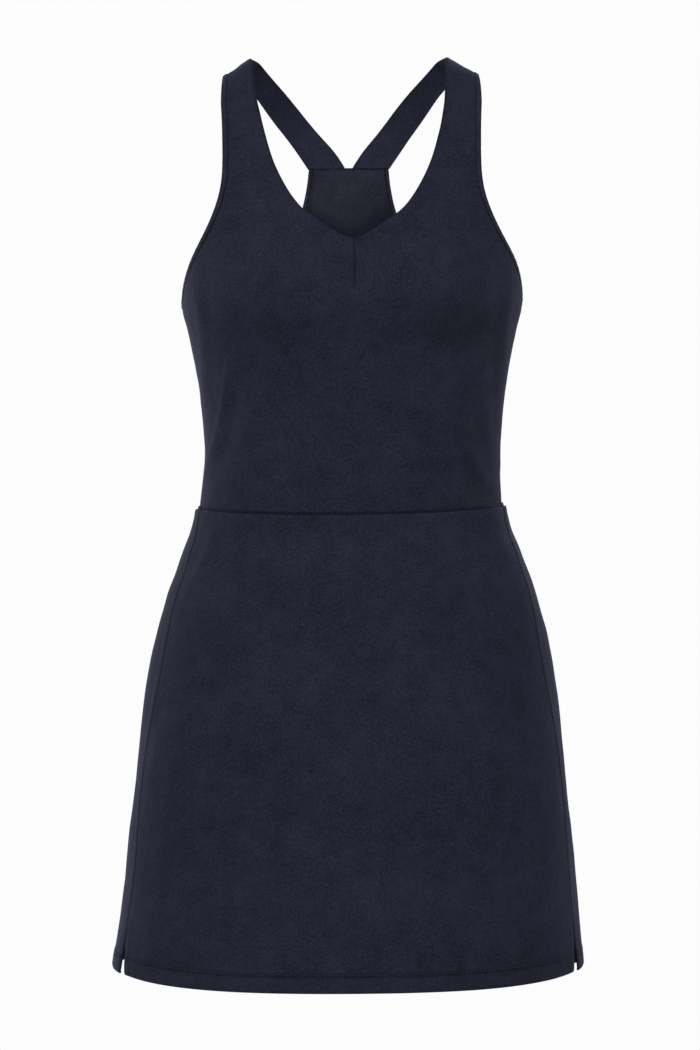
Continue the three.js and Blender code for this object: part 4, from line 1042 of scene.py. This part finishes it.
# ---------------------------------------------------------------- materials
def knit_material(name, dark, light, sheen=0.10, rough=0.88, speck=1.0, mottle=1.0, wale=0.62, bump=0.22, seed=0.0):
    mat = bpy.data.materials.new(name)
    mat.use_nodes = True
    nt = mat.node_tree
    nt.nodes.clear()
    new = nt.nodes.new
    link = nt.links.new
    out, bsdf = new("ShaderNodeOutputMaterial"), new("ShaderNodeBsdfPrincipled")
    link(bsdf.outputs["BSDF"], out.inputs["Surface"])
    coord, uv = new("ShaderNodeTexCoord"), new("ShaderNodeUVMap")
    uv.uv_map = "UVMap"

    def noise(scale, detail, roughness, distortion=0.0, where=None):
        m = new("ShaderNodeMapping")
        m.inputs["Location"].default_value = (seed, seed * 0.7, seed * 1.3)
        link(where or coord.outputs["Object"], m.inputs["Vector"])
        t = new("ShaderNodeTexNoise")
        t.inputs["Scale"].default_value = scale
        t.inputs["Detail"].default_value = detail
        t.inputs["Roughness"].default_value = roughness
        t.inputs["Distortion"].default_value = distortion
        link(m.outputs["Vector"], t.inputs["Vector"])
        return t.outputs["Fac"]

    def ramp(value, stops):
        r = new("ShaderNodeValToRGB")
        el = r.color_ramp.elements
        el[0].position, el[0].color = stops[0][0], (*[stops[0][1]] * 3, 1)
        el[1].position, el[1].color = stops[1][0], (*[stops[1][1]] * 3, 1)
        for pos, v in stops[2:]:
            e = el.new(pos)
            e.color = (v, v, v, 1)
        link(value, r.inputs["Fac"])
        return r.outputs["Color"]

    def math_node(op, a, b=None, value=None):
        m = new("ShaderNodeMath")
        m.operation = op
        link(a, m.inputs[0])
        if b is not None:
            link(b, m.inputs[1])
        elif value is not None:
            m.inputs[1].default_value = value
        return m.outputs[0]

    def wave(direction, pitch_mm, distortion):
        m = new("ShaderNodeTexWave")
        m.wave_type = "BANDS"
        m.bands_direction = direction
        m.wave_profile = "SIN"
        m.inputs["Scale"].default_value = 1000.0 / pitch_mm * math.pi / 10  # a band every pi/10 of the scaled coordinate
        m.inputs["Distortion"].default_value = distortion
        m.inputs["Detail"].default_value = 1.0
        m.inputs["Detail Scale"].default_value = 2.0
        link(uv.outputs["UV"], m.inputs["Vector"])
        return m.outputs["Fac"]

    big = ramp(noise(17.0, 4.0, 0.55, 0.4), [(0.36, 0.0), (0.66, 1.0)])
    mid = ramp(noise(62.0, 3.0, 0.6, 0.2), [(0.34, 0.0), (0.68, 1.0)])
    fine = ramp(noise(900.0, 2.0, 0.7), [(0.39, 0.0), (0.63, 1.0)])
    flecks = ramp(noise(1450.0, 1.0, 0.5), [(0.60, 0.0), (0.70, 1.0)])
    a = math_node("MULTIPLY", big, value=0.10 * mottle)
    b = math_node("MULTIPLY", mid, value=0.13 * mottle)
    c = math_node("MULTIPLY", fine, value=0.34 * speck)
    d = math_node("MULTIPLY", flecks, value=0.32 * speck)
    tone = math_node("ADD", math_node("ADD", a, b), math_node("ADD", c, d))
    mix = new("ShaderNodeMix")
    mix.data_type = "RGBA"
    mix.inputs[6].default_value = (*dark, 1)
    mix.inputs[7].default_value = (*light, 1)
    link(tone, mix.inputs[0])
    # melange yarn: some fibres run warmer than the rest
    warm = new("ShaderNodeMix")
    warm.data_type = "RGBA"
    warm.inputs[6].default_value = (*light, 1)
    warm.inputs[7].default_value = (light[0] * 1.12, light[1] * 1.02, light[2] * 0.84, 1)
    link(ramp(noise(1050.0, 2.0, 0.7, 0.0), [(0.44, 0.0), (0.60, 1.0)]), warm.inputs[0])
    link(warm.outputs[2], mix.inputs[7])
    # painted shade in seams and under edges: the shade attribute darkens the base colour
    shade = new("ShaderNodeAttribute")
    shade.attribute_name = "painted_seam_shade"
    deep = new("ShaderNodeMix")
    deep.data_type = "RGBA"
    link(shade.outputs["Fac"], deep.inputs[0])
    link(mix.outputs[2], deep.inputs[6])
    deep.inputs[7].default_value = (0.0012, 0.0013, 0.0022, 1)
    link(deep.outputs[2], bsdf.inputs["Base Color"])
    # knit: fine wales with courses across them
    w1 = wave("X", wale, 0.6)
    w2 = wave("Y", wale * 0.8, 0.6)
    knit = math_node("MULTIPLY", w1, w2)
    fuzz = noise(2100.0, 2.0, 0.7)
    height = math_node("ADD", math_node("MULTIPLY", knit, value=0.5), math_node("MULTIPLY", fuzz, value=0.6))
    bp = new("ShaderNodeBump")
    bp.inputs["Strength"].default_value = bump
    bp.inputs["Distance"].default_value = 0.0004
    link(height, bp.inputs["Height"])
    soft = new("ShaderNodeBump")
    soft.inputs["Strength"].default_value = 0.35
    soft.inputs["Distance"].default_value = 0.0012
    link(noise(120.0, 3.0, 0.6), soft.inputs["Height"])
    link(bp.outputs["Normal"], soft.inputs["Normal"])
    link(soft.outputs["Normal"], bsdf.inputs["Normal"])
    rg = new("ShaderNodeMapRange")
    rg.inputs["To Min"].default_value = rough - 0.05
    rg.inputs["To Max"].default_value = rough + 0.06
    link(mid, rg.inputs["Value"])
    link(rg.outputs["Result"], bsdf.inputs["Roughness"])
    bsdf.inputs["Specular IOR Level"].default_value = 0.04
    bsdf.inputs["Sheen Weight"].default_value = sheen
    bsdf.inputs["Sheen Roughness"].default_value = 0.42
    bsdf.inputs["Sheen Tint"].default_value = (0.62, 0.65, 1.0, 1)
    mat.diffuse_color = (*light, 1)
    return mat


DARK, LIGHT = (0.0038, 0.0042, 0.0080), (0.0278, 0.0303, 0.0555)
# the inside faces take a lighter, greyer copy of the knit: partly the reverse side's own colour, partly painted light
# making up for the little light that reaches inside
REV_DARK, REV_LIGHT = (0.0106, 0.0112, 0.0190), (0.0500, 0.0525, 0.0850)
M_BODICE = knit_material("knit_bodice", DARK, LIGHT)
M_SKIRT = knit_material("knit_skirt", DARK, LIGHT, seed=3.1)
M_BACK = knit_material("knit_back", DARK, LIGHT, seed=6.4)
M_STRAP = knit_material("knit_strap", DARK, LIGHT, seed=9.2)
M_REVERSE = knit_material("knit_reverse", REV_DARK, REV_LIGHT, speck=0.8, seed=4.4)
M_STRAP_IN = knit_material("knit_strap_reverse", (0.0088, 0.0098, 0.0185), (0.0440, 0.0475, 0.0850), speck=0.9, seed=7.7)
M_BIND = knit_material("knit_binding", tuple(v * 1.12 for v in DARK), tuple(v * 1.15 for v in LIGHT), sheen=0.12, wale=0.5, seed=1.7)


def thread_material():
    mat = bpy.data.materials.new("sewing_thread")
    mat.use_nodes = True
    nt = mat.node_tree
    bsdf = nt.nodes["Principled BSDF"]
    coord = nt.nodes.new("ShaderNodeTexCoord")
    t = nt.nodes.new("ShaderNodeTexNoise")
    t.inputs["Scale"].default_value = 900.0
    nt.links.new(coord.outputs["Object"], t.inputs["Vector"])
    mix = nt.nodes.new("ShaderNodeMix")
    mix.data_type = "RGBA"
    mix.inputs[6].default_value = (0.0130, 0.0137, 0.0230, 1)
    mix.inputs[7].default_value = (0.0350, 0.0370, 0.0590, 1)
    nt.links.new(t.outputs["Fac"], mix.inputs[0])
    nt.links.new(mix.outputs[2], bsdf.inputs["Base Color"])
    b = nt.nodes.new("ShaderNodeBump")
    b.inputs["Strength"].default_value = 0.4
    b.inputs["Distance"].default_value = 0.0001
    nt.links.new(t.outputs["Fac"], b.inputs["Height"])
    nt.links.new(b.outputs["Normal"], bsdf.inputs["Normal"])
    bsdf.inputs["Roughness"].default_value = 0.7
    bsdf.inputs["Specular IOR Level"].default_value = 0.2
    return mat


M_THREAD = thread_material()

# ---------------------------------------------------------------- the pieces
bodice_front, *_front = build_bodice(True)
bodice_back, *_back = build_bodice(False)
skirt_front, keep_front, s_f, tot_f, up_f, z_f, rows_f = build_skirt(True)
skirt_back, keep_back, s_b, tot_b, up_b, z_b, rows_b = build_skirt(False)
bind_left, bind_right = build_binding(1), build_binding(-1)
strap_left, strap_right = build_strap(1), build_strap(-1)


def hem_rows(keep, s, total, up, z):
    """Thread rows: two along the hem, one beside each slit edge."""
    out = []
    for lift in (14.8, 11.5):
        line_p, line_n = [], []
        for side in (-1, 1):
            p, n = keep[side]
            order = range(p.shape[1]) if side == -1 else range(p.shape[1] - 1, -1, -1)
            for j in order:
                col = up[:, j]
                o = np.argsort(col)
                line_p.append([np.interp(lift, col[o], p[o, j, k]) for k in range(3)])
                line_n.append([np.interp(lift, col[o], n[o, j, k]) for k in range(3)])
        line_p, line_n = np.array(line_p), np.array(line_n)
        stay = np.r_[True, np.linalg.norm(np.diff(line_p, axis=0), axis=1) > 1e-4]
        out.append((line_p[stay], line_n[stay]))
    for side in (-1, 1):
        p, n = keep[side]
        lp, ln = [], []
        for i in range(p.shape[0]):
            if SLIT_TOP - 1 > z[i, 0] and up[i, 0] > 1.4:
                lp.append([np.interp(8.7, s[i], p[i, :, k]) for k in range(3)])
                ln.append([np.interp(8.7, s[i], n[i, :, k]) for k in range(3)])
        if len(lp) > 2:
            out.append((np.array(lp), np.array(ln)))
    return out


stitch_front = build_stitches("stitches_front", hem_rows(keep_front, s_f, tot_f, up_f, z_f))
stitch_back = build_stitches("stitches_back", hem_rows(keep_back, s_b, tot_b, up_b, z_b))

PIECES = [
    (bodice_front, M_BODICE, "bodice_front", "bodice_knit"),
    (bodice_back, M_BACK, "bodice_back", "bodice_knit"),
    (strap_left, M_STRAP, "strap_left", "strap_knit"),
    (strap_right, M_STRAP, "strap_right", "strap_knit"),
    (bind_left, M_BIND, "armhole_binding_left", "binding_knit"),
    (bind_right, M_BIND, "armhole_binding_right", "binding_knit"),
    (skirt_front, M_SKIRT, "skirt_front", "skirt_knit"),
    (skirt_back, M_SKIRT, "skirt_back", "skirt_knit"),
]
for obj, mat, node, slot in PIECES:
    obj.data.materials.append(mat)
    # inside faces get the lighter copy of the knit, partly its reverse side's colour and partly painted light
    obj.data.materials.append(M_STRAP_IN if slot == "strap_knit" else M_REVERSE)
    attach(obj, "root")
    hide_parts(node)
for obj in (stitch_front, stitch_back):
    obj.data.materials.append(M_THREAD)
    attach(obj, "root")

# ---------------------------------------------------------------- stage, light and camera
def plain_material(name, color):
    mat = bpy.data.materials.new(name)
    mat.use_nodes = True
    b = mat.node_tree.nodes["Principled BSDF"]
    b.inputs["Base Color"].default_value = (*color, 1)
    b.inputs["Roughness"].default_value = 0.9
    b.inputs["Specular IOR Level"].default_value = 0.1
    return mat


floor_mesh = bpy.data.meshes.new("floor")
floor_mesh.from_pydata([(-3, -3, -1.5), (3, -3, -1.5), (3, 3, -1.5), (-3, 3, -1.5)], [], [(0, 1, 2, 3)])
floor = bpy.data.objects.new("floor", floor_mesh)
bpy.context.scene.collection.objects.link(floor)
floor_mesh.materials.append(plain_material("floor_pale", (0.78, 0.78, 0.78)))

world = bpy.data.worlds.new("studio")
bpy.context.scene.world = world
world.use_nodes = True
wn = world.node_tree
bg = wn.nodes["Background"]
geo = wn.nodes.new("ShaderNodeTexCoord")
sep = wn.nodes.new("ShaderNodeSeparateXYZ")
wn.links.new(geo.outputs["Generated"], sep.inputs[0])


def sky(axis, at_minus, at_plus):
    """A share of the sky's brightness that runs evenly from one side to the other."""
    m = wn.nodes.new("ShaderNodeMapRange")
    m.inputs["From Min"].default_value = -1.0
    m.inputs["From Max"].default_value = 1.0
    m.inputs["To Min"].default_value = at_minus
    m.inputs["To Max"].default_value = at_plus
    wn.links.new(sep.outputs[axis], m.inputs["Value"])
    return m.outputs["Result"]


# soft even sky, brighter in front of the dress and on the viewer's left
total_sky = None
for share in (sky("X", 0.36, 0.0), sky("Y", 0.50, 0.04), sky("Z", 0.02, 0.18)):
    if total_sky is None:
        total_sky = share
    else:
        add = wn.nodes.new("ShaderNodeMath")
        add.operation = "ADD"
        wn.links.new(total_sky, add.inputs[0])
        wn.links.new(share, add.inputs[1])
        total_sky = add.outputs[0]
wn.links.new(total_sky, bg.inputs["Color"])
bg.inputs["Strength"].default_value = 1.0

# plain pale backdrop all round, seen by the camera only
drop_mesh = bpy.data.meshes.new("backdrop")
bm = bmesh.new()
bmesh.ops.create_icosphere(bm, subdivisions=4, radius=9.0)
bm.to_mesh(drop_mesh)
bm.free()
backdrop = bpy.data.objects.new("backdrop", drop_mesh)
bpy.context.scene.collection.objects.link(backdrop)
glow = bpy.data.materials.new("backdrop_pale")
glow.use_nodes = True
gb = glow.node_tree.nodes["Principled BSDF"]
gb.inputs["Base Color"].default_value = (0, 0, 0, 1)
gb.inputs["Specular IOR Level"].default_value = 0.0
gb.inputs["Emission Color"].default_value = (0.976, 0.976, 0.976, 1)
gb.inputs["Emission Strength"].default_value = 1.0
drop_mesh.materials.append(glow)
backdrop.visible_diffuse = backdrop.visible_glossy = backdrop.visible_transmission = False
backdrop.visible_volume_scatter = backdrop.visible_shadow = False


def area_light(name, location, target, size, power, color=(1, 1, 1), spread=180):
    data = bpy.data.lights.new(name, "AREA")
    data.spread = math.radians(spread)
    data.shape = "RECTANGLE"
    data.size, data.size_y = size
    data.energy = power
    data.color = color
    obj = bpy.data.objects.new(name, data)
    bpy.context.scene.collection.objects.link(obj)
    obj.location = location
    obj.visible_camera = False
    d = np.array(target) - np.array(location)
    from mathutils import Vector
    obj.rotation_euler = Vector(d).to_track_quat("-Z", "Y").to_euler()
    return obj


area_light("key", (-0.8, -2.3, 1.9), (0, 0, -0.35), (1.5, 1.2), 68)
area_light("fill", (1.0, -2.5, 0.9), (0, 0, -0.45), (1.2, 1.2), 23)
area_light("rim_left", (-1.9, 1.5, 0.1), (0, 0, -0.35), (0.8, 1.4), 1.5)
area_light("side_left", (-2.0, 1.1, -0.45), (-0.15, 0, -0.26), (0.3, 0.3), 0.36, spread=26)
area_light("rim_right", (1.9, 1.5, 0.1), (0, 0, -0.35), (0.8, 1.4), 3)
area_light("side_right", (2.0, 1.1, -0.35), (0.15, 0, -0.21), (0.3, 0.3), 0.12, spread=22)
area_light("back", (0.4, 2.6, 1.4), (0, 0, -0.4), (2.0, 1.4), 24)

# The camera stands level with the middle of the dress, a little to the viewer's left.
AZ, ROLL, DIST, Z_CAM = math.radians(1.22), math.radians(0.05), 2.7, -0.3985
cam_data = bpy.data.cameras.new("camera")
cam = bpy.data.objects.new("camera", cam_data)
bpy.context.scene.collection.objects.link(cam)
cam_data.sensor_width = 36.0
cam_data.lens = 3103.0 * 36.0 / 1050.0
cam_data.clip_end = 100
offset = -0.0003
cam.location = (-DIST * math.sin(AZ) + offset, -DIST * math.cos(AZ), Z_CAM)
from mathutils import Euler, Matrix

look = Euler((math.pi / 2, 0, -AZ)).to_matrix().to_4x4() @ Matrix.Rotation(ROLL, 4, "Z")
cam.rotation_euler = look.to_euler()
bpy.context.scene.camera = cam

bpy.context.scene.view_settings.view_transform = "Standard"
